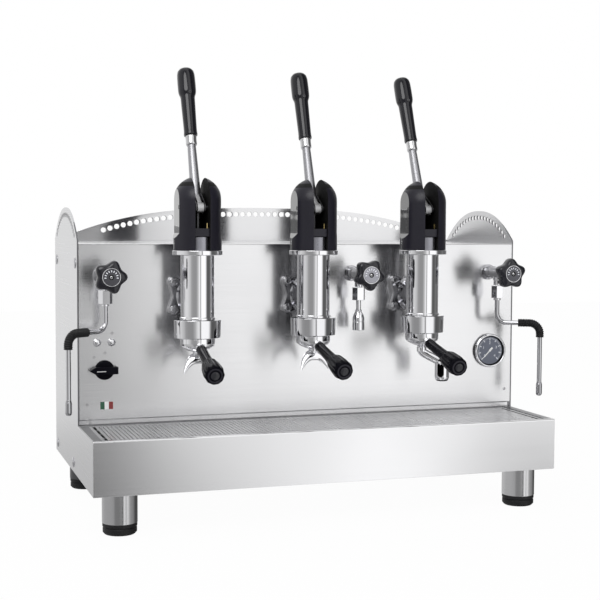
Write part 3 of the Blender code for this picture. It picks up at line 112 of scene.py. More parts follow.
VALVE_Z = 0.4795
VALVES = {"left": -0.4275, "right": 0.4135}
TAP_X = 0.0956
OUTLET_Y = -0.047
OUTLET_DROP = 0.0545
WAND_TURNS = {"left": 211, "right": -31}
KNOB_Y = -0.1063
KNOB_RADIUS = 0.0288
GAUGE = (0.4196, 0.3081)
NEEDLE_Y = -0.0049
SWITCH = (-0.422, 0.2918)
BUTTONS = {"left": -0.43635, "right": -0.40765}
BUTTON_Z = 0.3463


# Nodes of the materials

EVEN = (1, 1, 1)
BRUSHED = (2, 60, 600)


def fill(tree, made, inputs):
    """Set each input to its value, or link it to its socket."""
    for key, value in inputs.items():
        if isinstance(value, bpy.types.NodeSocket):
            tree.links.new(value, made.inputs[key])
        else:
            made.inputs[key].default_value = value


def node(tree, kind, inputs=None, **settings):
    made = tree.nodes.new("ShaderNode" + kind)
    for key, value in settings.items():
        setattr(made, key, value)
    fill(tree, made, inputs or {})
    return made


def grain(tree, scale, stretch, detail=4.0):
    """Noise in the piece's own coordinates, stretched along one or more axes."""
    place = node(tree, "TexCoord").outputs["Object"]
    mapping = node(tree, "Mapping", {"Vector": place, "Scale": stretch})
    return node(tree, "TexNoise", {"Vector": mapping.outputs["Vector"], "Scale": scale,
                                   "Detail": detail, "Roughness": 0.6}).outputs["Fac"]


def ranged(tree, source, low, high, start=0.3, end=0.7):
    return node(tree, "MapRange", {"Value": source, "From Min": start, "From Max": end,
                                   "To Min": low, "To Max": high}).outputs["Result"]


def mixed(tree, factor, one, two):
    """A mix of two colours, each three numbers or a socket."""
    one, two = (side if isinstance(side, bpy.types.NodeSocket) else (*side, 1) for side in (one, two))
    return node(tree, "Mix", {"Factor": factor, "A": one, "B": two}, data_type="RGBA").outputs["Result"]


def material(name, colours, rough, cloud, fine, bump, inputs):
    """Cloudy colour between two, with one fine noise in its roughness and its surface."""
    made = bpy.data.materials.new(name)
    made.use_nodes = True
    tree = made.node_tree
    fine = grain(tree, *fine)
    relief = node(tree, "Bump", {"Strength": bump[0], "Distance": bump[1], "Height": fine})
    fill(tree, tree.nodes["Principled BSDF"], {
        "Base Color": mixed(tree, ranged(tree, grain(tree, *cloud), 0, 1), *colours),
        "Roughness": ranged(tree, fine, *rough), "Normal": relief.outputs["Normal"], **inputs})
    return made


def greys(dark, light, blue=0.01):
    """Two greys with a little blue added."""
    return [(value, value, value + blue) for value in (dark, light)]


def metal(name, colours, rough, stretch=EVEN, scale=1.0, bump=0.1, anisotropy=0.0):
    """Steel or chrome with a fine grain; anisotropy follows the UV map named grain."""
    made = material(name, colours, rough, (3.0, EVEN, 2.0), (scale, stretch), (bump, 0.0002),
                    {"Metallic": 1.0, "Anisotropic": anisotropy})
    if anisotropy:
        tree = made.node_tree
        tangent = node(tree, "Tangent", direction_type="UV_MAP", uv_map="grain")
        fill(tree, tree.nodes["Principled BSDF"], {"Tangent": tangent.outputs["Tangent"]})
    return made


def chrome(name, dark, light, rough=(0.03, 0.06)):
    return metal(name, greys(dark, light, 0.02), rough, scale=14, bump=0.01)


def paint_rear_shade(made, shade_grey):
    """Painted shade: darken the base colour towards the splash, from a little in front of the groups' axis.
    """
    tree = made.node_tree
    shader = tree.nodes["Principled BSDF"]
    colour = shader.inputs["Base Color"].links[0].from_socket
    split = node(tree, "SeparateXYZ", {0: node(tree, "TexCoord").outputs["Object"]})
    front, back = AXIS_Y - 0.004, AXIS_Y + 0.012
    share = ranged(tree, split.outputs["Y"], 0, 1, front + SHIFT.y, back + SHIFT.y)
    fill(tree, shader, {"Base Color": mixed(tree, share, colour, (shade_grey, shade_grey, shade_grey + 0.01))})
    return made


def plastic(name, colours, rough, scale=150, bump=0.02, coat=0.0, shine=0.5):
    """Moulded plastic, rubber or print with a fine texture."""
    return material(name, colours, rough, (8.0, EVEN, 3.0), (scale, EVEN, 5.0), (bump, 0.0003),
                    {"Coat Weight": coat, "Coat Roughness": 0.05, "Specular IOR Level": shine})


PANEL = metal("panel_steel", greys(0.81, 0.87), (0.2, 0.25), BRUSHED, bump=0.05, anisotropy=0.7)
RAIL = metal("rail_steel", greys(0.69, 0.75), (0.11, 0.15), BRUSHED, bump=0.04, anisotropy=0.6)
TRAY = metal("tray_steel", greys(0.78, 0.84), (0.14, 0.18), BRUSHED, bump=0.05, anisotropy=0.6)
SIDE = metal("side_steel", greys(0.655, 0.675), (0.27, 0.29), (60, 2, 600), bump=0.004)
GRID = metal("grid_steel", greys(0.55, 0.65), (0.24, 0.36), (400, 4, 400), bump=0.08)
FOOT = metal("foot_steel", greys(0.6, 0.7), (0.12, 0.2), (4, 4, 500), bump=0.06)
BASIN = metal("basin_steel", greys(0.24, 0.34), (0.35, 0.45), (2, 60, 200), bump=0.05)
CHROME = chrome("chrome", 0.86, 0.92)
# Chrome of the cylinders, bowls and collars darkens towards the splash as painted shade
BODY = paint_rear_shade(chrome("body_chrome", 0.86, 0.92), 0.28)
COLLAR = paint_rear_shade(chrome("collar_chrome", 0.78, 0.84), 0.24)
FITTING = chrome("fitting_steel", 0.42, 0.52, (0.07, 0.13))
PIPE = chrome("pipe_steel", 0.58, 0.66, (0.05, 0.09))
ARM = chrome("arm_steel", 0.4, 0.46, (0.38, 0.46))
CUT = metal("cut_edge", greys(0.18, 0.26), (0.3, 0.42), scale=200)
CAST = metal("cast_chrome", greys(0.56, 0.72, 0.02), (0.06, 0.14), scale=60, bump=0.08)
WORN = metal("worn_steel", greys(0.44, 0.58), (0.4, 0.52), scale=80)
OILED = metal("oiled_steel", greys(0.07, 0.13, 0.005), (0.25, 0.4), scale=80)
BUTTON = metal("button_bead", greys(0.7, 0.82, 0.02), (0.05, 0.1), scale=60, bump=0.04)
# Darkened chrome for the sleeve inside the cover: painted shade
SHADED_CHROME = metal("shaded_chrome", ((0.28, 0.28, 0.31), (0.38, 0.38, 0.42)), (0.26, 0.34), scale=40, bump=0.04)
BRASS = metal("brass", ((0.5, 0.38, 0.16), (0.62, 0.48, 0.22)), (0.18, 0.3), scale=40, bump=0.08)
COPPER = metal("copper", ((0.55, 0.27, 0.16), (0.68, 0.36, 0.22)), (0.2, 0.34), (4, 1, 1), 30, 0.08)
PRINTED = metal("printed_disc", ((0.3, 0.3, 0.33), (0.38, 0.38, 0.42)), (0.16, 0.24), scale=120, bump=0.02)
DARK_DISC = metal("dark_disc", ((0.09, 0.09, 0.1), (0.14, 0.14, 0.155)), (0.16, 0.24), scale=120, bump=0.02)
GLOSS = plastic("black_gloss", ((0.006, 0.005, 0.012), (0.01, 0.009, 0.018)), (0.34, 0.4), 120, 0.01,
                shine=0.45)
POLISH = plastic("black_polish", ((0.004, 0.004, 0.005), (0.008, 0.008, 0.01)), (0.04, 0.08), 90, 0.01,
                 1.0, 0.6)
GRIP = plastic("black_grip", ((0.003, 0.003, 0.006), (0.006, 0.006, 0.01)), (0.1, 0.16), 120, 0.02, 0.5, 0.3)
HANDLE = plastic("black_handle", ((0.003, 0.003, 0.005), (0.006, 0.006, 0.009)), (0.1, 0.16), 120, 0.02,
                 shine=0.03)
KNOB = plastic("black_knob", ((0.006, 0.006, 0.009), (0.012, 0.012, 0.018)), (0.14, 0.22), 200,
               0.03, 0.3, 0.4)
MATTE = plastic("black_matte", greys(0.003, 0.007, 0), (0.55, 0.7), 200, 0.05, shine=0.25)
RUBBER = plastic("black_rubber", greys(0.008, 0.016, 0.001), (0.45, 0.6), 300, 0.1, shine=0.3)
DISC = plastic("grey_disc", ((0.016, 0.016, 0.02), (0.026, 0.026, 0.032)), (0.2, 0.3))
FACE = plastic("dial_face", ((0.125, 0.138, 0.18), (0.15, 0.165, 0.212)), (0.35, 0.45))
INK = plastic("pale_print", ((0.84, 0.86, 0.92), (0.9, 0.92, 0.97)), (0.4, 0.5))
MARK = plastic("dark_print", greys(0.16, 0.24), (0.4, 0.55))
GREEN = plastic("green_print", ((0.02, 0.09, 0.05), (0.03, 0.12, 0.07)), (0.4, 0.5))
WHITE = plastic("white_print", greys(0.86, 0.93), (0.4, 0.5))
RED = plastic("red_print", ((0.22, 0.03, 0.03), (0.28, 0.04, 0.04)), (0.4, 0.5))


# Shapes. Each function gives a bmesh

def skin(rings, closed=False, caps=False):
    """Faces between rings of points; a ring may be one point."""
    shape = bmesh.new()
    rings = [[shape.verts.new(point) for point in ring] for ring in rings]
    for low, high in list(zip(rings, rings[1:])) + [(rings[-1], rings[0])] * closed:
        count = max(len(low), len(high))
        for step in range(count):
            after = (step + 1) % count
            corners = dict.fromkeys((low[step % len(low)], low[after % len(low)],
                                     high[after % len(high)], high[step % len(high)]))
            if len(corners) > 2:
                shape.faces.new(list(corners))
    if caps:
        shape.faces.new(list(reversed(rings[0])))
        shape.faces.new(rings[-1])
    bmesh.ops.recalc_face_normals(shape, faces=shape.faces)
    return shape


def around(radius, height, steps):
    """A ring of points round Z; its radius is a number or a function of the angle."""
    angles = [tau * step / steps for step in range(steps)]
    radii = [radius(a) if callable(radius) else radius for a in angles]
    return [(r * cos(a), r * sin(a), height) for r, a in zip(radii, angles)]


def lathe(profile, steps=64, closed=False):
    """A profile of (radius, height) points turned round Z."""
    return skin([around(radius, height, steps) if radius > 1e-6 else [(0, 0, height)]
                 for radius, height in profile], closed)


def mm(*points):
    """Points in millimetres, as metres."""
    return [tuple(value / 1000 for value in point) for point in points]


def eased(points, radius, steps=3, closed=False):
    """A line of 2-D points with rounded corners."""
    out = []
    count = len(points)
    for k, point in enumerate(points):
        here = Vector(point)
        if not closed and k in (0, count - 1):
            out.append(tuple(here))
            continue
        back = Vector(points[k - 1]) - here
        ahead = Vector(points[(k + 1) % count]) - here
        reach = min(radius, 0.45 * back.length, 0.45 * ahead.length)
        out += curved(here + back.normalized() * reach, here, here + ahead.normalized() * reach, steps)
    return out


def curved(first, corner, last, steps):
    """Points of a bend from one point to another, drawn towards a corner."""
    shares = [step / steps for step in range(steps + 1)]
    return [tuple(first * (1 - t) ** 2 + corner * 2 * t * (1 - t) + last * t * t) for t in shares]


def spun(profile, ease, steps):
    """A solid turned from the axis out and back, with eased corners."""
    return lathe(eased(profile, ease), steps)


def hoop(profile, ease, steps, rounds=3):
    """A ring turned from a closed profile with eased corners."""
    return lathe(eased(profile, ease, rounds, True), steps, True)


def sweep(route, radii, steps):
    """A round bar along a route; radii is one size or one for each point."""
    route = [Vector(point) for point in route]
    if isinstance(radii, float):
        radii = [radii] * len(route)
    rings = []
    side = None
    for k, (here, radius) in enumerate(zip(route, radii)):
        along = (route[min(k + 1, len(route) - 1)] - route[max(k - 1, 0)]).normalized()
        side = along.orthogonal() if side is None else side - along * side.dot(along)
        side.normalize()
        up = along.cross(side)
        rings.append([here + side * radius * cos(a) + up * radius * sin(a)
                      for a in (tau * step / steps for step in range(steps))])
    return skin(rings, caps=True)


def extrude_x(section, low, high):
    """A closed (y, z) section drawn out along X."""
    return skin([[(x, y, z) for y, z in section] for x in (low, high)], caps=True)


def block(low, high, edge=0.0):
    shape = bmesh.new()
    low, high = Vector(low), Vector(high)
    bmesh.ops.create_cube(shape, size=1)
    bmesh.ops.scale(shape, vec=high - low, verts=shape.verts)
    bmesh.ops.translate(shape, vec=(low + high) / 2, verts=shape.verts)
    if edge:
        bmesh.ops.bevel(shape, geom=shape.edges, offset=edge, segments=2, profile=0.5, affect="EDGES")
    return shape


def to_mesh(shape, name="shape"):
    mesh = bpy.data.meshes.new(name)
    shape.to_mesh(mesh)
    shape.free()
    return mesh


def added(name, data):
    item = bpy.data.objects.new(name, data)
    SCENE.collection.objects.link(item)
    return item


def evaluated(item):
    """The finished mesh of an object with modifiers or of a curve, as a bmesh."""
    bpy.context.view_layer.update()
    graph = bpy.context.evaluated_depsgraph_get()
    mesh = bpy.data.meshes.new_from_object(item.evaluated_get(graph))
    shape = bmesh.new()
    shape.from_mesh(mesh)
    bpy.data.meshes.remove(mesh)
    return shape


def from_curve(curve):
    item = added("curve", curve)
    shape = evaluated(item)
    bpy.data.objects.remove(item)
    bpy.data.curves.remove(curve)
    return shape


def slab(loops, thickness, edge=0.0):
    """A flat plate in XY, centred on Z, with eased edges; the later loops are its holes."""
    curve = bpy.data.curves.new("slab", "CURVE")
    curve.dimensions = "2D"
    curve.fill_mode = "BOTH"
    curve.extrude = thickness / 2 - edge
    curve.bevel_depth = edge
    curve.bevel_resolution = 1
    curve.offset = -edge
    for loop in loops:
        spline = curve.splines.new("POLY")
        spline.points.add(len(loop) - 1)
        spline.use_cyclic_u = True
        for point, (x, y) in zip(spline.points, loop):
            point.co = (x, y, 0, 1)
    shape = from_curve(curve)
    bmesh.ops.remove_doubles(shape, verts=shape.verts, dist=1e-6)
    bmesh.ops.recalc_face_normals(shape, faces=shape.faces)
    return shape


def move(shape, matrix):
    bmesh.ops.transform(shape, matrix=matrix, verts=shape.verts)
    return shape


def merge(*shapes):
    """Several closed shapes in one bmesh."""
    whole = bmesh.new()
    for shape in shapes:
        mesh = to_mesh(shape)
        whole.from_mesh(mesh)
        bpy.data.meshes.remove(mesh)
    return whole


def carve(base, *tools, operation="DIFFERENCE"):
    """The base with every tool cut out of it, or what it shares with them."""
    items = [added("tool", to_mesh(shape)) for shape in (base, *tools)]
    for tool in items[1:]:
        step = items[0].modifiers.new("step", "BOOLEAN")
        step.operation = operation
        step.object = tool
    shape = evaluated(items[0])
    for item in items:
        mesh = item.data
        bpy.data.objects.remove(item)
        bpy.data.meshes.remove(mesh)
    bmesh.ops.remove_doubles(shape, verts=shape.verts, dist=1e-6)
    bmesh.ops.dissolve_degenerate(shape, edges=shape.edges, dist=1e-6)
    return shape


def soften(shape, width, angle):
    """Round the edges that are sharper than an angle in degrees."""
    bmesh.ops.dissolve_limit(shape, angle_limit=radians(0.3), verts=shape.verts,
                             edges=shape.edges)
    sharp = [edge for edge in shape.edges
             if len(edge.link_faces) == 2 and edge.calc_face_angle() > radians(angle)]
    bmesh.ops.bevel(shape, geom=sharp, offset=width, segments=2, profile=0.5,
                    affect="EDGES", clamp_overlap=True)
    return shape


def arc(centre, radius, start, end, steps):
    angles = [radians(start + (end - start) * step / steps) for step in range(steps + 1)]
    return [(centre[0] + radius * cos(a), centre[1] + radius * sin(a)) for a in angles]


def quarter(radius, centre_z, steps):
    """A profile from the top of a dome down to its widest point."""
    angles = [pi / 2 * step / steps for step in range(steps + 1)]
    return [(radius * sin(a), centre_z + radius * cos(a)) for a in angles]


def circle(centre, radius, steps=20):
    return arc(centre, radius, 0, 360 - 360 / steps, steps - 1)


PIECES = []


def piece(name, shape, finish, body="root", cad=None, slot="chrome", where=None, angle=35,
          inner=()):
    """One named object of the machine that rides on a body and may stand for a CAD node."""
    if where is not None:
        move(shape, where)
    bmesh.ops.translate(shape, vec=SHIFT, verts=shape.verts)
    mesh = to_mesh(shape, name)
    mesh.shade_smooth()
    mesh.set_sharp_from_angle(angle=radians(angle))
    for used in (finish, *inner):
        mesh.materials.append(used)
    item = added(name, mesh)
    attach(item, body)
    if cad:
        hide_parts(cad)
    PIECES.append(item)
    return item


def settle_normals():
    """Normals weighted by area, so that flat faces reflect like flat sheets."""
    for item in PIECES:
        step = item.modifiers.new("normals", "WEIGHTED_NORMAL")
        step.keep_sharp = True
        step.weight = 100
    bpy.context.view_layer.update()
    graph = bpy.context.evaluated_depsgraph_get()
    for item in PIECES:
        old = item.data
        made = bpy.data.meshes.new_from_object(item.evaluated_get(graph), depsgraph=graph)
        item.modifiers.clear()
        item.data = made
        bpy.data.meshes.remove(old)
        made.name = item.name


def brush(item, slant=0.37):
    """A UV map whose U runs across the brushed grain."""
    layer = item.data.uv_layers.new(name="grain")
    for loop in item.data.loops:
        place = item.data.vertices[loop.vertex_index].co
        layer.data[loop.index].uv = (place.z + place.y * slant, place.x)


def at(x=0.0, y=0.0, z=0.0, turn=(0, 0, 0)):
    """A place with a turn in degrees."""
    return Matrix.Translation((x, y, z)) @ Euler([radians(a) for a in turn]).to_matrix().to_4x4()


FACING_X = at(turn=(90, 0, 90))
FACING_Y = at(turn=(90, 0, 0))


def screw_head(radius=0.0035, height=0.0018, recess=0.0016):
    """A button-head screw with a recess, on XY, pointing along +Z."""
    return lathe([(0, height * 0.35), (recess, height * 0.35), (recess, height), (radius * 0.55, height),
                  (radius * 0.85, height * 0.7), (radius, height * 0.25), (radius, 0), (0, 0)], 24)


# Body

def arch(half, rise, power, steps):
    shares = [sin(pi / 2 * (1 - 2 * step / steps)) for step in range(steps + 1)]
    return [(half * share, rise * (1 - abs(share) ** power)) for share in shares]


def arch_row(half, rise, power, inset, count):
    """Points one hole pitch apart along a line that runs at an inset under an arch."""
    row = [(0.0, rise - inset)]
    last = row[0]
    travelled = 0.0
    fine = 3000
    for step in range(1, fine):
        share = step / fine
        slope = -rise * power * share ** (power - 1) / half
        length = hypot(1, slope)
        point = (half * share + inset * slope / length, rise * (1 - share ** power) - inset / length)
        travelled += hypot(point[0] - last[0], point[1] - last[1])
        last = point
        if travelled >= HOLE_PITCH * len(row) and len(row) <= count:
            row.append(point)
    return [(-x, y) for x, y in reversed(row[1:])] + row


def side_panels():
    """Two plates with the front edges above the tray shown as dark cut edges."""
    middle = DEPTH / 2
    front = FRONT + 0.0018
    crown = [(middle + y, SHOULDER + z) for y, z in arch(middle, *SIDE_ARCH, 72)]
    edge = [(front, BASE), (DEPTH, BASE)] + crown + [(0, RIM), (front, RIM)]
    holes = [circle((middle + y, SHOULDER + z), 0.005) for y, z in arch_row(middle, *SIDE_ARCH, 0.0153, 9)]
    dome = mm((0, 3), (5, 2.8), (9.4, 1.7), (11, 0.4), (11, -0.5), (0, -0.5))
    screws = ((0.0254, 0.5026), (0.0646, 0.0995), (0.305, 0.5026), (0.305, 0.0995))
    for side, sign in SIDES:
        item = piece(f"side_sheet_{side}", slab([edge] + holes, SIDE_SHEET, 0.0005), SIDE,
                     cad=f"side_panel_{side}", slot="body_steel",
                     where=at(sign * (HALF - SIDE_SHEET / 2)) @ FACING_X, inner=(CUT,))
        for face in item.data.polygons:
            if face.normal.y < -0.5 and face.center.z > RIM:
                face.material_index = 1
        heads = [move(spun(dome, 0.0003, 40), at(sign * HALF, y, z, (0, sign * 90, 0)))
                 for y, z in screws]
        piece(f"side_screws_{side}", merge(*heads), FITTING, slot="body_steel")


def gallery_rail():
    foot = DECK + 0.0003
    base = foot + 0.0045
    top = [(x, base + z) for x, z in arch(INNER, *RAIL_ARCH, 120)]
    holes = [circle((x, base + z), 0.0055) for x, z in arch_row(INNER, *RAIL_ARCH, 0.0145, 30)
             if base + z - 0.012 > foot and abs(x) < INNER - 0.092]
    rail = slab([[(-INNER, foot), (INNER, foot)] + top] + holes, RAIL_SHEET, 0.0005)
    brush(piece("rail_sheet", rail, RAIL, cad="gallery_rail", slot="body_steel",
                where=at(y=DEPTH - RAIL_SHEET) @ FACING_Y))


def splash_and_shelf():
    """The splash with a hem set back below it, its one screw, and the cup shelf."""
    hem, bottom, top = 0.1765, 0.193, DECK - 0.0018
    step = 0.006
    outer = eased([(step, hem), (step, bottom), (0.0, bottom), (0.0, top)], 0.002, 4)
    inner = eased([(SHEET, top), (SHEET, bottom + SHEET), (step + SHEET, bottom + SHEET),
                   (step + SHEET, hem)], 0.001, 4)
    brush(piece("splash_sheet", extrude_x(outer + inner, -INNER, INNER), PANEL, cad="splash_panel",
                slot="body_steel"))
    section = eased([(DEPTH, DECK), (0.0, DECK), (0.0, DECK - SHEET), (DEPTH, DECK - SHEET)], 0.0007, 3, True)
    brush(piece("shelf_sheet", extrude_x(section, -INNER, INNER), PANEL, cad="cup_shelf",
                slot="body_steel"))
    piece("splash_screw", screw_head(0.0032), CAST, slot="body_steel",
          where=at(0.4578, 0, 0.2225, (90, 0, 0)))


def rear_sheet():
    """A sheet with four blocks of eight louvre slots, and its screws."""
    low, high = BASE + 0.0033, DECK - 0.0018
    half, tall = 0.04, 0.003
    loops = [[(-INNER, low), (INNER, low), (INNER, high), (-INNER, high)]]
    for row in range(8):
        for column in range(4):
            x = -0.33 + column * 0.22
            z = 0.3 + row * 0.02
            loops.append([(x - half, z)] + arc((x + half, z + tall), tall, -90, 90, 8)
                         + arc((x - half, z + tall), tall, 90, 270, 8)[:-1])
    brush(piece("rear_sheet", slab(loops, SHEET, 0.0003), PANEL, cad="rear_panel", slot="body_steel",
                where=at(y=DEPTH - SHEET / 2) @ FACING_Y))
    heads = [move(screw_head(), at(x, DEPTH, z, (-90, 0, 0)))
             for x in (-0.455, -0.2275, 0.0, 0.2275, 0.455) for z in (0.098, 0.522)]
    piece("rear_screws", merge(*heads), CAST, slot="body_steel")


def tray():
    lip = FRONT + 0.009
    outer = eased([(lip, RIM), (FRONT, RIM), (FRONT, BASE)], 0.003, 5)
    inner = eased([(FRONT + SHEET, BASE), (FRONT + SHEET, RIM - SHEET), (lip, RIM - SHEET)], 0.0015, 5)
    apron = soften(extrude_x(outer + inner, -HALF, HALF), 0.0006, 60)
    brush(piece("apron_sheet", apron, TRAY, cad="front_apron", slot="tray_steel"))


def grid():
    """Bars from front to back in a flat frame, over three cross bars."""
    half, front, back = 0.4569, -0.1804, -0.0001
    thick, border, overlap, pitch, bar_half = 0.003, 0.008, 0.006, 0.008, 0.0033
    high = RIM - 0.0013
    low = high - thick
    edge = [(-half, front), (half, front), (half, back), (-half, back)]
    opening = [(-half + border, front + border), (half - border, front + border),
               (half - border, back - border), (-half + border, back - border)]
    parts = [move(slab([edge, opening], thick, 0.0006), at(z=(high + low) / 2))]
    count = int((half - 0.01) / pitch)
    for step in range(-count, count + 1):
        left, right = step * pitch - bar_half, step * pitch + bar_half
        bar = eased([(left, low), (right, low), (right, high), (left, high)], 0.0012, 3, True)
        parts.append(skin([[(x, y, z) for x, z in bar] for y in (front + overlap, back - overlap)]))
    for y in (-0.135, -0.09, -0.045):
        parts.append(block((-half + overlap, y - 0.002, low - 0.0002),
                           (half - overlap, y + 0.002, low + 0.0012)))
    piece("grid_bars", merge(*parts), GRID, "drip_grid", "drip_grid", "tray_steel")


def feet():
    steel = [(0, BASE - 0.0003), (FOOT_RADIUS, BASE - 0.0003), (FOOT_RADIUS, PAD_HIGH), (0, PAD_HIGH)]
    pad = mm((0, 21.5), (32.8, 21.5), (32.8, 15), (30.8, 14), (30.8, 13), (32.2, 11.8), (32.2, 4),
             (28.5, 0), (0, 0))
    # The rear feet take dark oiled steel as painted shade under the back of the machine
    for row, y, finish in (("front", FRONT + 0.0485, FOOT), ("rear", DEPTH - 0.045, OILED)):
        for side, sign in SIDES:
            place = at(sign * (HALF - 0.057), y)
            piece(f"foot_steel_{row}_{side}", spun(steel, 0.0008, 72), finish,
                  cad=f"foot_{row}_{side}", slot="foot_steel", where=place)
            piece(f"foot_pad_{row}_{side}", spun(pad, 0.0008, 72), RUBBER, slot="foot_rubber", where=place)


# Groups

def lobed(spread, rise, radius, waist=0.78):
    """Four round lugs with drawn-in sides between them."""
    lean = degrees(atan2(rise, spread))
    up, out = (rise + radius) * waist, (spread + radius) * waist
    points = []
    for x, y, facing, middle in ((1, 1, lean, (0, up)), (-1, 1, 180 - lean, (-out, 0)),
                                 (-1, -1, 180 + lean, (0, -up)), (1, -1, -lean, (out, 0))):
        points += arc((x * spread, y * rise), radius, facing - 80, facing + 80, 12) + [middle]
    return points


def group_body(n, where):
    """Cylinder with its top flange, a sleeve darkened as painted shade under the cover, and neck with a
    bolted four-lug mount.
    """
    profile = mm((25.5, 529.3), (49, 529.3), (49, 520.5), (33, 520.3), (33, 399.7), (35, 399.5),
                 (35, 394.7), (29.1, 394.7), (29.1, 372.6), (25.5, 372.6))
    piece(f"cylinder_{n}", hoop(profile, 0.0011, 96), BODY, cad=f"group_body_{n}", where=where)
    sleeve = mm((25.5, 556), (36, 556), (36, 528.3), (25.5, 528.3))
    piece(f"sleeve_top_{n}", hoop(sleeve, 0.0011, 96), SHADED_CHROME, where=where)
    start, lugs_thick = 0.029, 0.012
    inner_face = MOUNT_FACE - lugs_thick
    route = [(0, start + (inner_face - start) * t, 0) for t in (0, 0.2, 0.4, 0.6, 0.8, 0.92, 1)]
    flare = (1.1, 1.02, 1.0, 1.0, 1.05, 1.15, 1.3)
    neck = move(sweep(route, [0.0275 * size for size in flare], 40), Matrix.Diagonal((0.727, 1, 1, 1)))
    move(neck, at(z=NECK_Z))
    lugs = slab([eased(lobed(MOUNT_SPREAD, MOUNT_RISE, 0.01), 0.004, 3, True)], lugs_thick, 0.0016)
    move(lugs, at(0, MOUNT_FACE - lugs_thick / 2, NECK_Z) @ FACING_Y)
    piece(f"mount_{n}", merge(neck, lugs), FITTING, where=where)
    heads = []
    for x in (-MOUNT_SPREAD, MOUNT_SPREAD):
        for z in (-MOUNT_RISE, MOUNT_RISE):
            place = at(x, inner_face, NECK_Z + z, (90, 0, 0))
            washer = spun(mm((0, 1.2), (8.5, 1.2), (8.5, 0), (0, 0)), 0.0004, 32)
            head = slab([circle((0, 0), 0.011 / sqrt(3), 6)], 0.006, 0.0006)
            heads += [move(washer, place), move(head, place @ at(z=0.0041, turn=(0, 0, 17.1887)))]
    piece(f"mount_bolts_{n}", merge(*heads), CHROME, where=where)


def main_spring(n, where):
    """A coil between the piston and the cover's floor."""
    turns, steps, radius, wire = 5, 24, 0.0215, 0.0021
    rise = SPRING_HIGH - SPRING_LOW - 2 * wire
    angles = [tau * step / steps for step in range(turns * steps + 1)]
    route = [(radius * cos(a), radius * sin(a), SPRING_LOW + wire + rise * a / angles[-1])
             for a in angles]
    piece(f"spring_{n}", sweep(route, wire, 14), OILED, cad=f"main_spring_{n}",
          slot="spring_steel", where=where)


def press_springs():
    """Give each spring its own copy of its mesh."""
    for n in (1, 2, 3):
        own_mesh(bpy.data.objects[f"spring_{n}"])


def lock_collar(n, where):
    """A ring drawn out to two ears at its sides."""
    profile = mm((29.3, 394.2), (36, 394.2), (36, 359.3), (32.5, 359.3), (32.5, 363.8), (34.2, 363.8),
                 (34.2, 369.8), (32.5, 369.8), (32.5, 372.5), (29.3, 372.5))
    ring = hoop(profile, 0.0009, 120)
    for vert in ring.verts:
        if vert.co.xy.length > 0.0349:
            vert.co.x *= 1.26 + 0.03 * min(1.0, (vert.co.z - COLLAR_LOW) / 0.006)
    piece(f"collar_ring_{n}", ring, COLLAR, cad=f"lock_collar_{n}", where=where)


def cover(n, where):
    """A domed black housing with side flats, a slot for the lever and an open window below."""
    dome = quarter(DOME_RADIUS, DOME, 20)
    dome[0] = (0, COVER_HIGH)
    bore = 0.038
    profile = dome + [(DOME_RADIUS, COVER_LOW), (bore, COVER_LOW), (bore, FLOOR_LOW), (0, FLOOR_LOW)]
    slot, out, above = 0.01475, 0.06, 0.8
    tools = [block((-slot, -out, FLOOR_HIGH), (slot, 0.036, above)),
             block((-slot, -out, COVER_HIGH - 0.03), (slot, out, above)),
             block((-slot, -out, FLOOR_LOW + 0.0002), (slot, -0.0395, above)),
             block((-slot, -out, COVER_LOW - 0.01), (slot, -0.03, FLOOR_LOW + 0.0004)),
             move(lathe([(0, -out), (0.0043, -out), (0.0043, out), (0, out)], 32),
                  at(0, FULCRUM_Y, FULCRUM_Z, (0, 90, 0)))]
    for sign in (-1, 1):
        flat = [(sign * 0.0413, FLOOR_LOW + 0.0065), (sign * 0.0413, above), (sign * out, above),
                (sign * out, FLOOR_LOW - 0.0038), (sign * 0.0471, FLOOR_LOW - 0.0038)]
        tools.append(move(slab([flat], 0.2), FACING_Y))
    shell = soften(carve(lathe(profile, 96), *tools), 0.0008, 20)
    for face in shell.faces:
        middle = face.calc_center_median()
        inside = abs(middle.x) < slot + 0.0001 and abs(face.normal.y) < 0.5
        if inside and middle.z < COVER_HIGH - 0.0005 or middle.xy.length < bore + 0.0005 and middle.z < 0.66:
            face.material_index = 1 if abs(middle.x) < bore + 0.0005 else 0
        elif abs(face.normal.x) > 0.8 and abs(face.normal.y) < 0.05 and abs(middle.x) > 0.041:
            face.material_index = 2
    piece(f"cover_shell_{n}", shell, GLOSS, cad=f"cover_{n}", slot="black_cover", where=where,
          angle=9, inner=(MATTE, POLISH))
    pin = spun(mm((0, 2.4), (2.1, 2.4), (2.1, -8), (0, -8)), 0.0004, 6)
    piece(f"guide_screw_{n}", pin, BRASS, where=where @ at(0.0112, -0.031, FLOOR_HIGH + 0.008))


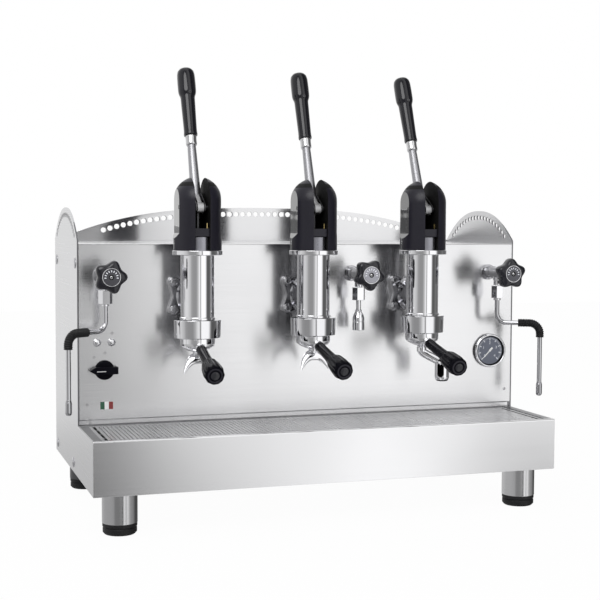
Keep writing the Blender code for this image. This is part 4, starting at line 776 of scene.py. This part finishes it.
def lever(n, where, sway):
    """Steel arm with its fork and roller, ferrule and black grip."""
    body = f"lever_{n}"
    at_pin = where @ at(0, FULCRUM_Y, FULCRUM_Z)
    tilt = radians(LEAN)
    along = Vector((sin(tilt), cos(tilt)))
    beside = Vector((cos(tilt), -sin(tilt)))
    foot = beside * ARM_REACH
    arm_place = at_pin @ at(0, *foot, (-LEAN, sway, 0))
    arm = mm((0, 159.6), (8.4, 159.6), (8.2, 139), (8.5, 130), (10.4, 30), (9.8, 20.5), (0, 20.5))
    piece(f"arm_{n}", spun(arm, 0.0015, 48), ARM, body, body, where=arm_place)
    ferrule = mm((0, 159.7), (10.6, 159.7), (11.1, 156), (10.8, 150), (11.1, 142), (10.3, 139), (0, 139))
    piece(f"ferrule_{n}", spun(ferrule, 0.001, 48), FOOT, body, where=arm_place)
    grip = mm((0, 304.5), (7, 304.2), (12.5, 302.2), (15.8, 297.5), (17, 290.5), (17.3, 280), (17.4, 268),
              (17.3, 259), (17, 253.5), (16.2, 249.5), (15, 246.2), (14.1, 243.5), (13.7, 240), (13.5, 225),
              (13.1, 205), (12.7, 185), (12.5, 172), (12.7, 166), (13.1, 162.2), (12.6, 160.2), (10, 159.9),
              (0, 159.9))
    grip = [(radius * 1.045, z) for radius, z in grip]
    piece(f"grip_{n}", lathe(grip), GRIP, body, f"lever_grip_{n}", "black_grip", where=arm_place, angle=50)
    screw = mm((0, 0.2), (1.2, 0.2), (1.2, 1.6), (3, 1.6), (3.3, 0), (0, -1))
    piece(f"grip_screw_{n}", spun(screw, 0.0003, 24), OILED, body,
          where=arm_place @ at(0.0015, -0.0156, 0.2475, (90, 0, 0)))
    # Tongue and hub between two cam plates, whose dark steel is painted shade of the slot they sit in
    low = foot + along * 0.0205
    high = foot + along * 0.036
    loop = [low + beside * 0.0082, high + beside * 0.0078, high - beside * 0.0078]
    loop += arc((0, 0), 0.0105, 110, 285, 24) + [(0.0127, -0.0034), (0.0127, 0.0034)]
    plates = [move(slab([loop], 0.0022, 0.0005), at(sign * 0.0088) @ FACING_X) for sign in (-1, 1)]
    piece(f"cam_plates_{n}", merge(*plates), OILED, body, where=at_pin)
    tongue = [low + beside * 0.006, high + beside * 0.007, high - beside * 0.007,
              (-0.002, 0.0085), (0.006, -0.004)]
    piece(f"tongue_{n}", slab([tongue], 0.009, 0.0012), WORN, body, where=at_pin @ FACING_X)
    hub = hoop(mm((1, -6.5), (10.5, -6.5), (10.5, 6.5), (1, 6.5)), 0.0007, 48)
    piece(f"hub_{n}", move(hub, at(0.001)), WORN, body, where=at_pin @ at(turn=(0, 90, 0)))


def portafilter(n, where, yaw, single):
    """Bowl with two lugs and a spout, and a handle on a stub that slopes down."""
    body = f"portafilter_{n}"
    place = where @ at(turn=(0, 0, -yaw))
    low = BOWL_TOP - 0.0193
    bowl = mm((0, -14.2), (27.2, -14.2), (27.5, 11), (29, 11.5), (31.8, 11), (31.8, 0), (34.5, 0),
              (34.5, -10.8), (33.5, -15.3), (30, -18.3), (26.2, -20.8), (18, -24.8), (9.5, -27.8),
              (8.5, -29.8), (8.5, -37.3), (0, -37.3))
    piece(f"bowl_{n}", spun(bowl, 0.0012, 96), BODY, body, body, where=place @ at(z=BOWL_TOP))
    (chute if single else double_spout)(n, body, place, low)
    axis = place @ at(0, 0, BOWL_TOP - 0.0103, (HANDLE_SLOPE - 90, 0, 0))
    stub = mm((0, -28), (9.5, -28), (9.5, -36), (8, -37.5), (8, -41.2), (0, -41.2))
    piece(f"stub_{n}", spun(stub, 0.0008, 48), CHROME, body, where=axis)
    handle(n, body, axis)
    lugs = [block((min(ends), -0.0042, 0.3641), (max(ends), 0.0042, 0.3695), 0.0008)
            for ends in ((-0.03, -0.0335), (0.03, 0.0335))]
    piece(f"bowl_lugs_{n}", merge(*lugs), CHROME, body, where=place)


def handle(n, body, axis):
    """A smooth narrow collar, a step and a fluted grip with an end ring and a pale disc."""
    step, end = 0.14, 0.1975
    long = end - step
    put = partial(piece, body=body, slot="black_grip")
    narrow = [(0, -0.0415), (0.0092, -0.0415), (0.01, -0.044), (0.01, -0.07),
              (0.0107, -0.11), (0.0118, -step - 0.001), (0, -step - 0.001)]
    put(f"handle_neck_{n}", spun(narrow, 0.0012, 48), HANDLE, where=axis)
    at_step, at_end = axis @ at(z=-step), axis @ at(z=-end)
    band = mm((10, 0.4), (13.6, 0.4), (14.6, -0.8), (13.6, -2), (10, -2))
    put(f"handle_band_{n}", hoop(band, 0.0005, 64), CHROME, where=at_step)
    stations = ((0.0, 0.0142), (0.003, 0.0164), (0.01, 0.0176), (0.022, 0.0184), (0.034, 0.0191),
                (0.042, 0.0194), (0.048, 0.019), (0.052, 0.0184), (0.0555, 0.0172), (long, 0.0148))
    rings = []
    for far, radius in stations:
        fade = max(0, min(1.0, far / 0.008, (long - far) / 0.008 if far > 0.04 else 1.0))
        rings.append(around(lambda a: radius - 0.0016 * fade * (0.5 - 0.5 * cos(11 * a)),
                            -far, 120))
    put(f"handle_{n}", skin(rings, caps=True), HANDLE, cad=f"portafilter_handle_{n}", where=at_step,
        angle=50)
    ring = mm((9.5, 1), (14.6, 1), (14, -0.4), (11.2, -0.4), (10.4, 0.6), (9.5, 0.6))
    put(f"handle_ring_{n}", hoop(ring, 0.0004, 64, 2), GLOSS, where=at_end)
    disc = mm((0, -0.8), (5, -0.6), (8.8, 0.2), (10, 1.2), (0, 1.2))
    put(f"handle_disc_{n}", lathe(disc, 48), DISC, slot="label", where=at_end)


def double_spout(n, body, place, low):
    """A wide arch that narrows to two pointed lips, a little in front of its boss."""
    tip = low - 0.048
    apex = tip + 0.0245
    rise, steps = 0.028, 48
    crest = tip + rise
    route, radii = [], []
    for share in (2 * step / steps - 1 for step in range(steps + 1)):
        route.append((0.0287 * share, 0, crest - rise * abs(share) ** 2.5))
        radii.append(0.0105 * (1 - 0.86 * abs(share) ** 2.2))
    pipe = move(sweep(route, radii, 32), Matrix.Diagonal((1, 0.7, 1, 1)))
    for vert in pipe.verts:
        vert.co.y -= 0.006 + 0.35 * (crest - vert.co.z)
    boss = spun([(0, low - 0.0175), (0.0092, low - 0.0175), (0.0098, low - 0.02),
                 (0.0098, apex), (0, apex - 0.004)], 0.001, 48)
    piece(f"spout_{n}", merge(pipe, boss), CHROME, body, where=place)


def chute(n, body, place, low):
    """A leaning pipe with an upright open gutter at its end."""
    bearing, facing = radians(67), 35
    reach, radius = 0.0422, 0.015

    def aside(out, height):
        return Vector((out * sin(bearing), -out * cos(bearing), height))

    start = low - 0.009
    lip = start - 0.0722
    crown = lip + 0.05
    middle = crown - radius
    corners = [aside(0, start - 0.006), aside(0, start - 0.011), aside(0.0062, start - 0.0155),
               aside(reach, middle + 0.004)]
    route = [corners[0]]
    for before, here, after in zip(corners, corners[1:], corners[2:]):
        ahead = after - here
        last = here + ahead.normalized() * min(0.006, 0.45 * ahead.length)
        route += curved(here + (before - here) * 0.45, here, last, 4)
    arm = sweep(route + corners[-1:], 0.0092, 40)
    boss = spun([(0, start - 0.002), (0.01, start - 0.002), (0.01, start - 0.0115),
                 (0, start - 0.0115)], 0.001, 48)
    dome = quarter(radius, middle, 12)
    dome[0] = (0, crown)
    gutter = lathe(dome + eased([(radius, lip + 0.014), (radius, lip + 0.006), (0.011, lip), (0, lip)],
                                0.006, 6))
    bore = lathe([(0, lip - 0.01), (0.0085, lip - 0.01), (0.0085, lip + 0.004), (0.0128, lip + 0.009),
                  (0.0128, middle), (0.009, middle + 0.009), (0, middle + 0.0115)])
    mouth = move(slab([arc((0, lip + 0.016), 0.0068, 180, 360, 16)
                       + arc((0, middle - 0.002), 0.0068, 0, 180, 16)], 0.04),
                 at(turn=(0, 0, -facing)) @ at(0, -0.02, 0) @ FACING_Y)
    shape = soften(carve(gutter, bore, mouth), 0.0007, 40)
    # Faces inside the gutter's hollow take black matte as painted shade
    for face in shape.faces:
        spot = face.calc_center_median()
        if spot.xy.length < 0.013 and lip + 0.001 < spot.z < crown - 0.002:
            face.material_index = 1
    piece(f"spout_{n}", merge(arm, boss), CHROME, body, where=place)
    piece(f"spout_gutter_{n}", shape, CHROME, body, where=place @ Matrix.Translation(aside(reach, 0)),
          angle=40, inner=(MATTE,))


def groups():
    for n, (x, yaw, sway) in enumerate(zip(GROUPS, YAWS, SWAYS), 1):
        where = at(x, AXIS_Y)
        group_body(n, where)
        main_spring(n, where)
        lock_collar(n, where)
        cover(n, where)
        lever(n, where, sway)
        portafilter(n, where, yaw, n == 3)


# Steam and water

def bend(start, corner, end, radius, steps):
    """Points of a round bend between two straight runs."""
    start, corner, end = Vector(start), Vector(corner), Vector(end)
    back = (start - corner).normalized()
    ahead = (end - corner).normalized()
    half = back.angle(ahead) / 2
    trim = radius / tan(half)
    centre = corner + (back + ahead).normalized() * radius / sin(half)
    first = (corner + back * trim - centre).normalized()
    last = (corner + ahead * trim - centre).normalized()
    return [centre + first.slerp(last, step / steps) * radius for step in range(steps + 1)]


def valve(name, x, node_name):
    """Wall rose, forward body with a ring, elbow outlet and hexagon nut."""
    profile = mm((0, 103.4), (4, 103.4), (4, 94), (9.5, 93.8), (10.5, 90), (10.5, 80), (12, 79), (12, 30),
                 (13.2, 29), (13.2, 24), (12, 23), (12, 6.3), (16.5, 5.5), (16.5, 0.3), (0, 0.3))
    piece(f"{name}_body", spun(profile, 0.0009, 64), FITTING, cad=node_name,
          where=at(x, 0, VALVE_Z) @ FACING_Y)
    below = at(x, OUTLET_Y, VALVE_Z)
    outlet = mm((0, 2), (9.5, 2), (9.5, -14.5), (8.2, -16), (8.2, -26.8), (0, -26.8))
    piece(f"{name}_outlet", spun(outlet, 0.0009, 48), CHROME, where=below)
    nut = move(slab([circle((0, 0), 0.01357, 6)], 0.0265, 0.0006), at(z=-0.04075))
    rounding = lathe(mm((0, -26.2), (11.4, -26.2), (13.8, -28.5), (13.8, -53), (11.4, -55.3), (0, -55.3)), 48)
    piece(f"{name}_nut", carve(nut, rounding, operation="INTERSECT"), CHROME, where=below, angle=15)


def tap_spout():
    below = at(TAP_X, OUTLET_Y, VALVE_Z - OUTLET_DROP)
    profile = mm((0, 6), (5.2, 6), (5, -16.5), (6, -21.5), (8, -25), (10.4, -30), (11.8, -35), (12.25, -39),
                 (12.25, -42.5), (11.5, -43), (11.5, -44.2), (12.25, -44.7), (12.25, -61.5), (10.8, -62),
                 (10.8, -44), (0, -44))
    piece("tap_bell", spun(profile, 0.0006, 64), CHROME, where=below)
    collar = mm((5, -19), (7.2, -20), (7.2, -21.8), (5, -22.8))
    piece("tap_ring", hoop(collar, 0.0005, 48, 2), CHROME, where=below)


def knob(name, x, node_name, turned, finish):
    """A five-lobed black knob with a disc, a thin ring and a centre screw, on its own body."""
    place = at(x, KNOB_Y, VALVE_Z, (90, 0, 0)) @ at(turn=(0, 0, turned))
    put = partial(piece, body=node_name, where=place)
    levels = ((-0.0125, 0.86), (-0.0118, 0.93), (-0.01, 0.97), (-0.006, 0.99), (-0.001, 1.0),
              (0.003, 0.995), (0.006, 0.975), (0.0085, 0.93), (0.0103, 0.86), (0.0115, 0.77),
              (0.0122, 0.68), (0.0125, 0.6))

    def lobes(a):
        return 0.125 * cos(5 * a) + 0.004 * cos(10 * a)

    rings = []
    for height, size in levels:
        fade = min(1.0, (size - 0.6) / 0.3)
        rings.append(around(lambda a: KNOB_RADIUS * (size + fade * lobes(a)), height, 150))
    put(f"{name}_star", skin(rings, caps=True), KNOB, cad=node_name, slot="black_grip", angle=40)
    rim = mm((16, 12.4), (17.6, 12.4), (17.4, 13.6), (16.4, 13.6))
    put(f"{name}_rim", hoop(rim, 0.0003, 64, 2), CHROME)
    disc = mm((0, 13.3), (16, 13.3), (16.4, 12.4), (0, 12.4))
    put(f"{name}_disc", spun(disc, 0.0003, 64), finish, slot="label")
    dashes = [move(block((-0.0008, 0.0098, 0.0132), (0.0008, 0.0134, 0.0135)),
                   at(turn=(0, 0, 96 - 24 * k - turned))) for k in range(9)]
    put(f"{name}_marks", merge(*dashes), INK, slot="label")
    well = mm((0, 13.4), (5, 13.4), (5.3, 13), (0, 13))
    put(f"{name}_well", lathe(well, 40), MATTE, slot="label")
    put(f"{name}_screw", screw_head(0.003, 0.0016, 0.0014), CHROME, where=place @ at(z=0.0128))
    collar = mm((4.5, -17), (10.5, -17), (10.5, -12.4), (4.5, -12.4))
    put(f"{name}_collar", hoop(collar, 0.0006, 48, 2), KNOB, slot="black_grip")


def wand(side, x):
    """A pipe with two bends, a tip at its end and a ribbed grip over the outer bend."""
    body = f"steam_wand_{side}"
    place = at(x, OUTLET_Y, VALVE_Z - OUTLET_DROP, (0, 0, WAND_TURNS[side]))
    top, arm, reach, tip_long, radius = 0.0078, -0.052, 0.091, 0.025, 0.022
    end = arm - 0.13 - tip_long
    outer = (0, 0, arm), (reach, 0, arm), (reach, 0, end), radius
    route = [(0, 0, top)] + bend((0, 0, top), *outer[:2], 0.019, 14) + bend(*outer, 14)
    piece(f"wand_pipe_{side}", sweep(route + [(reach, 0, end + tip_long)], 0.005, 40), PIPE, body, body,
          where=place)
    tip = mm((0, 30), (5, 30), (5.8, 26.2), (6.4, 24.5), (6.5, 5), (5.2, 1.5), (3, 0), (0, 0))
    piece(f"wand_tip_{side}", spun(tip, 0.0008, 48), FITTING, body, where=place @ at(reach, 0, end))
    collar = mm((4.9, -4), (7.8, -4), (7.8, -0.3), (4.9, -0.3))
    piece(f"wand_collar_{side}", hoop(collar, 0.0005, 48, 2), CHROME, body, where=place)
    line = [Vector((0.045, 0, arm))] + bend(*outer, 24) + [Vector((reach, 0, arm - 0.03))]
    dense = []
    for here, ahead in zip(line, line[1:]):
        parts = max(1, int((ahead - here).length / 0.0006))
        dense += [here.lerp(ahead, k / parts) for k in range(parts)]
    dense.append(line[-1])
    travelled, radii = 0.0, []
    for before, here in zip(dense[:1] + dense, dense):
        travelled += (here - before).length
        radii.append(0.0081 + 0.0006 * sin(tau * travelled / 0.0034))
    radii[0] = radii[-1] = 0.007
    piece(f"sleeve_{side}", sweep(dense, radii, 40), RUBBER, body, f"wand_sleeve_{side}",
          "black_sleeve", where=place)


def steam_and_water():
    for side, sign in SIDES:
        x = VALVES[side]
        valve(f"valve_{side}", x, f"steam_valve_{side}")
        knob(f"knob_{side}", x, f"steam_knob_{side}", 0 if sign < 0 else 18, DARK_DISC)
        wand(side, x)
    valve("tap", TAP_X, "water_tap")
    tap_spout()
    knob("tap_knob", TAP_X, "water_knob", -12, PRINTED)


# Controls

def figure(name, words, size, where):
    """Small raised figures."""
    curve = bpy.data.curves.new(name, "FONT")
    curve.body = words
    curve.size = size
    curve.align_x = "CENTER"
    curve.align_y = "CENTER"
    curve.extrude = 0.00006
    piece(name, from_curve(curve), INK, slot="label", where=where)


def gauge():
    """Case, bezel, liner, dial with its ticks and figures, and the needle."""
    x, z = GAUGE
    place = at(x, 0, z) @ FACING_Y
    put = partial(piece, where=place)
    case = mm((0, 3.4), (32, 3.4), (35.5, 7.2), (35.8, 6.8), (35.8, 0.3), (33, 0.3), (33, -28), (0, -28))
    put("gauge_shell", spun(case, 0.0004, 96), OILED, cad="gauge_case")
    bezel = mm((32.2, 8.8), (33, 9.6), (34.6, 9.8), (35.9, 8.8), (36.6, 7), (36.6, 5.8), (35.2, 5.8),
               (32.2, 7.5))
    put("gauge_bezel", hoop(bezel, 0.0006, 96), CHROME)
    # The liner between bezel and dial is black matte as painted shade of the recess
    liner = mm((29.8, 4.1), (32.4, 8.6), (33, 8), (33, 3.8), (29.8, 3.8))
    put("gauge_liner", lathe(liner, 96, True), MATTE, slot="dial")
    face = mm((0, 4), (30, 4), (30, 3.7), (0, 3.7))
    put("gauge_face", lathe(face, 96), FACE, slot="dial")
    first, sweep_angle, tick_count, figure_radius = 225, 270, 40, 0.0165
    ticks = []
    for k in range(tick_count + 1):
        inner, wide = (0.0218, 0.0009) if k % 5 == 0 else (0.025, 0.0004)
        ticks.append(move(block((inner, -wide, 0.0039), (0.028, wide, 0.0043)),
                          at(turn=(0, 0, first - sweep_angle * k / tick_count))))
    put("gauge_ticks", merge(*ticks), INK, slot="label")
    for k in range(0, 9, 2):
        a = radians(first - sweep_angle * k / 8)
        figure(f"gauge_figure_{k}", str(k // 2), 0.0085,
               place @ at(figure_radius * cos(a), figure_radius * sin(a), 0.0042))
    hand = mm((-2, -8.5), (2, -8.5), (2.6, -4), (1.4, 0), (1.2, 12), (0.5, 23.8), (-0.5, 23.8), (-1.2, 12),
              (-1.4, 0), (-2.6, -4))
    hub = spun(mm((0, -0.4), (2.8, -0.4), (2.6, 1.2), (0, 1.4)), 0.0004, 32)
    piece("needle", merge(slab([hand], 0.0008, 0.0002), hub), WHITE, "gauge_needle", "gauge_needle", "dial",
          where=at(x, NEEDLE_Y, z, (90, -136, 0)))


def controls():
    """Rotary switch, push buttons, the striped sticker and small printed signs."""
    x, z = SWITCH
    place = at(x, 0, z) @ FACING_Y
    disc = mm((0, 6), (16.5, 6), (18.2, 5.2), (19.5, 3), (19.5, 0.3), (0, 0.3))
    edge = mm((-31.9, 0), (-19.5, -7.5), (25.1, -7.5), (25.1, 7.5), (-19.5, 7.5))
    bar = move(slab([eased(edge, 0.0022, 4, True)], 0.0138, 0.0016), at(z=0.0101))
    piece("switch_grip", merge(spun(disc, 0.0008, 64), bar), HANDLE, "switch_knob", "switch_knob",
          "black_grip", where=place)
    line = block((-0.0175, -0.002, 0.0169), (0.0005, -0.0008, 0.01705))
    piece("switch_line", line, WHITE, "switch_knob", slot="label", where=place)
    cap = mm((0, 6.6), (3, 6.2), (5.5, 5), (7.3, 3), (8, 1), (8, 0.3), (2.8, 0.3), (2.8, -9), (0, -9))
    for side, place_x in BUTTONS.items():
        body = f"push_button_{side}"
        piece(f"button_cap_{side}", spun(cap, 0.0008, 48), BUTTON, body, body, "black_grip",
              where=at(place_x, 0, BUTTON_Z) @ FACING_Y)
    for x, finish, colour in ((-0.4264, GREEN, "green"), (-0.418, WHITE, "white"), (-0.4096, RED, "red")):
        stripe = block((x - 0.0042, -0.0002, 0.2137), (x + 0.0042, 0.0001, 0.2285))
        piece(f"stripe_{colour}", stripe, finish, slot="label")
    marks = []
    for x, z in ((-0.4068, 0.3647), (-0.4209, 0.3254), (-0.4426, 0.3172), (-0.4525, 0.2927),
                 (-0.4568, 0.2236)):
        ring = slab([circle((0, 0), radius, 24) for radius in (0.0026, 0.0019)], 0.0002)
        marks += [move(ring, at(x, -0.0001, z) @ FACING_Y),
                  block((x - 0.0003, -0.0002, z - 0.001), (x + 0.0003, 0.0, z + 0.0012))]
    piece("panel_marks", merge(*marks), MARK, slot="label")


# CAD nodes that stay, mostly inside

def dress_cad():
    finishes = {"base_frame": SIDE, "drip_basin": BASIN, "boiler": COPPER}
    for n in (1, 2, 3):
        finishes[f"fulcrum_pin_{n}"] = OILED
        finishes[f"piston_{n}"] = OILED
    for name, finish in finishes.items():
        item = frame["nodes"][name]
        item.data.materials.clear()
        item.data.materials.append(finish)
        brush(item, 1.0)


# Room

def floor():
    """A pale floor that the camera sees almost white, and that the steel doesn't mirror."""
    shape = bmesh.new()
    bmesh.ops.create_grid(shape, x_segments=2, y_segments=2, size=6)
    made = material("pale_floor", greys(0.88, 0.92, 0), (0.9, 0.9), (1.5, EVEN, 3.0), (1.0, EVEN), (0, 0), {})
    tree = made.node_tree
    seen = node(tree, "LightPath").outputs["Is Camera Ray"]
    share = node(tree, "Math", {0: seen, 1: 0.97}, operation="MULTIPLY")
    mix = node(tree, "MixShader", {"Fac": share.outputs[0], 1: tree.nodes["Principled BSDF"].outputs[0],
                                   2: node(tree, "Emission").outputs[0]})
    fill(tree, tree.nodes["Material Output"], {"Surface": mix.outputs[0]})
    item = added("floor", to_mesh(shape, "floor"))
    item.data.materials.append(made)
    item.location = (0, 0, -0.0005)
    item.visible_glossy = False


# Azimuth in degrees, from straight in front towards +X, and brightness: at eye level and below it
LEVEL = ((-180, 0.95), (-140, 0.92), (-118, 0.74), (-84, 0.72), (-63, 0.54), (-53, 0.36), (-40, 0.31),
         (-22, 0.31), (-11, 0.5), (-3, 0.82), (4, 0.92), (6.2, 0.46), (7.6, 0.22), (9.2, 0.26),
         (10.6, 0.78), (12.5, 1.12), (20, 1.13), (40, 1.12), (45, 0.82), (51, 0.22), (58, 0.1),
         (72, 0.12), (90, 0.2), (100, 0.11), (112, 0.16), (126, 0.42), (142, 0.75), (158, 0.95),
         (180, 0.95))
BELOW = ((-180, 0.6), (-155, 0.6), (-120, 0.5), (-50, 0.46), (-40, 0.28), (-8, 0.26), (0, 0.34),
         (5, 0.2), (7, 0.09), (9, 0.12), (10.5, 0.3), (12, 0.49), (15, 0.7), (18, 0.92), (23, 1.28),
         (26, 0.88), (28, 0.54), (29.5, 0.34), (31, 0.5), (35, 0.85), (40, 1.0), (47, 0.92),
         (53, 0.62), (64, 0.43), (86, 0.32), (96, 0.18), (110, 0.08), (132, 0.07), (150, 0.4),
         (166, 0.58), (180, 0.6))


def brightness(tree, turn, stops):
    """A ramp of greys by azimuth."""
    ramp = node(tree, "ValToRGB", {"Fac": turn})
    elements = ramp.color_ramp.elements
    elements.remove(elements[1])
    for k, (azimuth, value) in enumerate(stops):
        spot = (azimuth + 180) / 360
        stop = elements[0] if k == 0 else elements.new(spot)
        stop.position = spot
        stop.color = (value, value, value, 1)
    return ramp.outputs["Color"]


def room_light():
    """White where the camera looks; soft light and dark areas round the machine for reflections."""
    world = bpy.data.worlds.new("room")
    SCENE.world = world
    world.use_nodes = True
    tree = world.node_tree
    split = node(tree, "SeparateXYZ", {0: node(tree, "TexCoord").outputs["Generated"]})
    front = node(tree, "Math", {0: split.outputs["Y"], 1: -1.0}, operation="MULTIPLY")
    angle = node(tree, "Math", {0: split.outputs["X"], 1: front.outputs[0]}, operation="ARCTAN2")
    turn = ranged(tree, angle.outputs[0], 0, 1, -pi, pi)
    height = split.outputs["Z"]
    white = (1, 1, 1)
    # The two rings of brightness meet a little below eye level
    around_it = mixed(tree, ranged(tree, height, 0, 1, -0.148, -0.167),
                      brightness(tree, turn, LEVEL), brightness(tree, turn, BELOW))
    # Overhead it is an even pale ceiling
    above = mixed(tree, ranged(tree, height, 0, 1, 0.84, 1.0), around_it, white)
    seen = mixed(tree, node(tree, "LightPath").outputs["Is Camera Ray"], above, white)
    fill(tree, tree.nodes["Background"], {"Color": seen, "Strength": 1.0})


def lamp(name, place, target, size, power):
    data = bpy.data.lights.new(name, "AREA")
    data.energy = power
    data.shape = "DISK"
    data.size = size
    item = added(name, data)
    item.location = place
    item.rotation_euler = (Vector(target) - Vector(place)).to_track_quat("-Z", "Y").to_euler()


def camera():
    """The photo's camera, solved from its edges; its focal length is in pixels of the picture."""
    focal, picture, sensor = 1240, 600, 36
    yaw, pitch, roll = radians(18.312), radians(3.397), radians(0.256)
    ahead = Vector((sin(yaw) * cos(pitch), cos(yaw) * cos(pitch), -sin(pitch)))
    level = Vector((cos(yaw), -sin(yaw), 0))
    right = level * cos(roll) + level.cross(ahead) * sin(roll)
    up = right.cross(ahead)
    item = added("camera", bpy.data.cameras.new("camera"))
    turned = Matrix((right, up, -ahead)).transposed().to_4x4()
    item.matrix_world = Matrix.Translation(Vector((-0.8215, -2.4338, 0.5766)) + SHIFT) @ turned
    item.data.sensor_width = sensor
    item.data.lens = focal / picture * sensor
    item.data.clip_start = 0.05
    SCENE.camera = item


side_panels()
gallery_rail()
splash_and_shelf()
rear_sheet()
tray()
grid()
feet()
groups()
steam_and_water()
gauge()
controls()
settle_normals()
press_springs()
dress_cad()
floor()
room_light()
lamp("key", (-1.6, -2.4, 2.6), (0, 0, 0.35), 2.4, 50)
camera()
SCENE.view_settings.view_transform = "Standard"
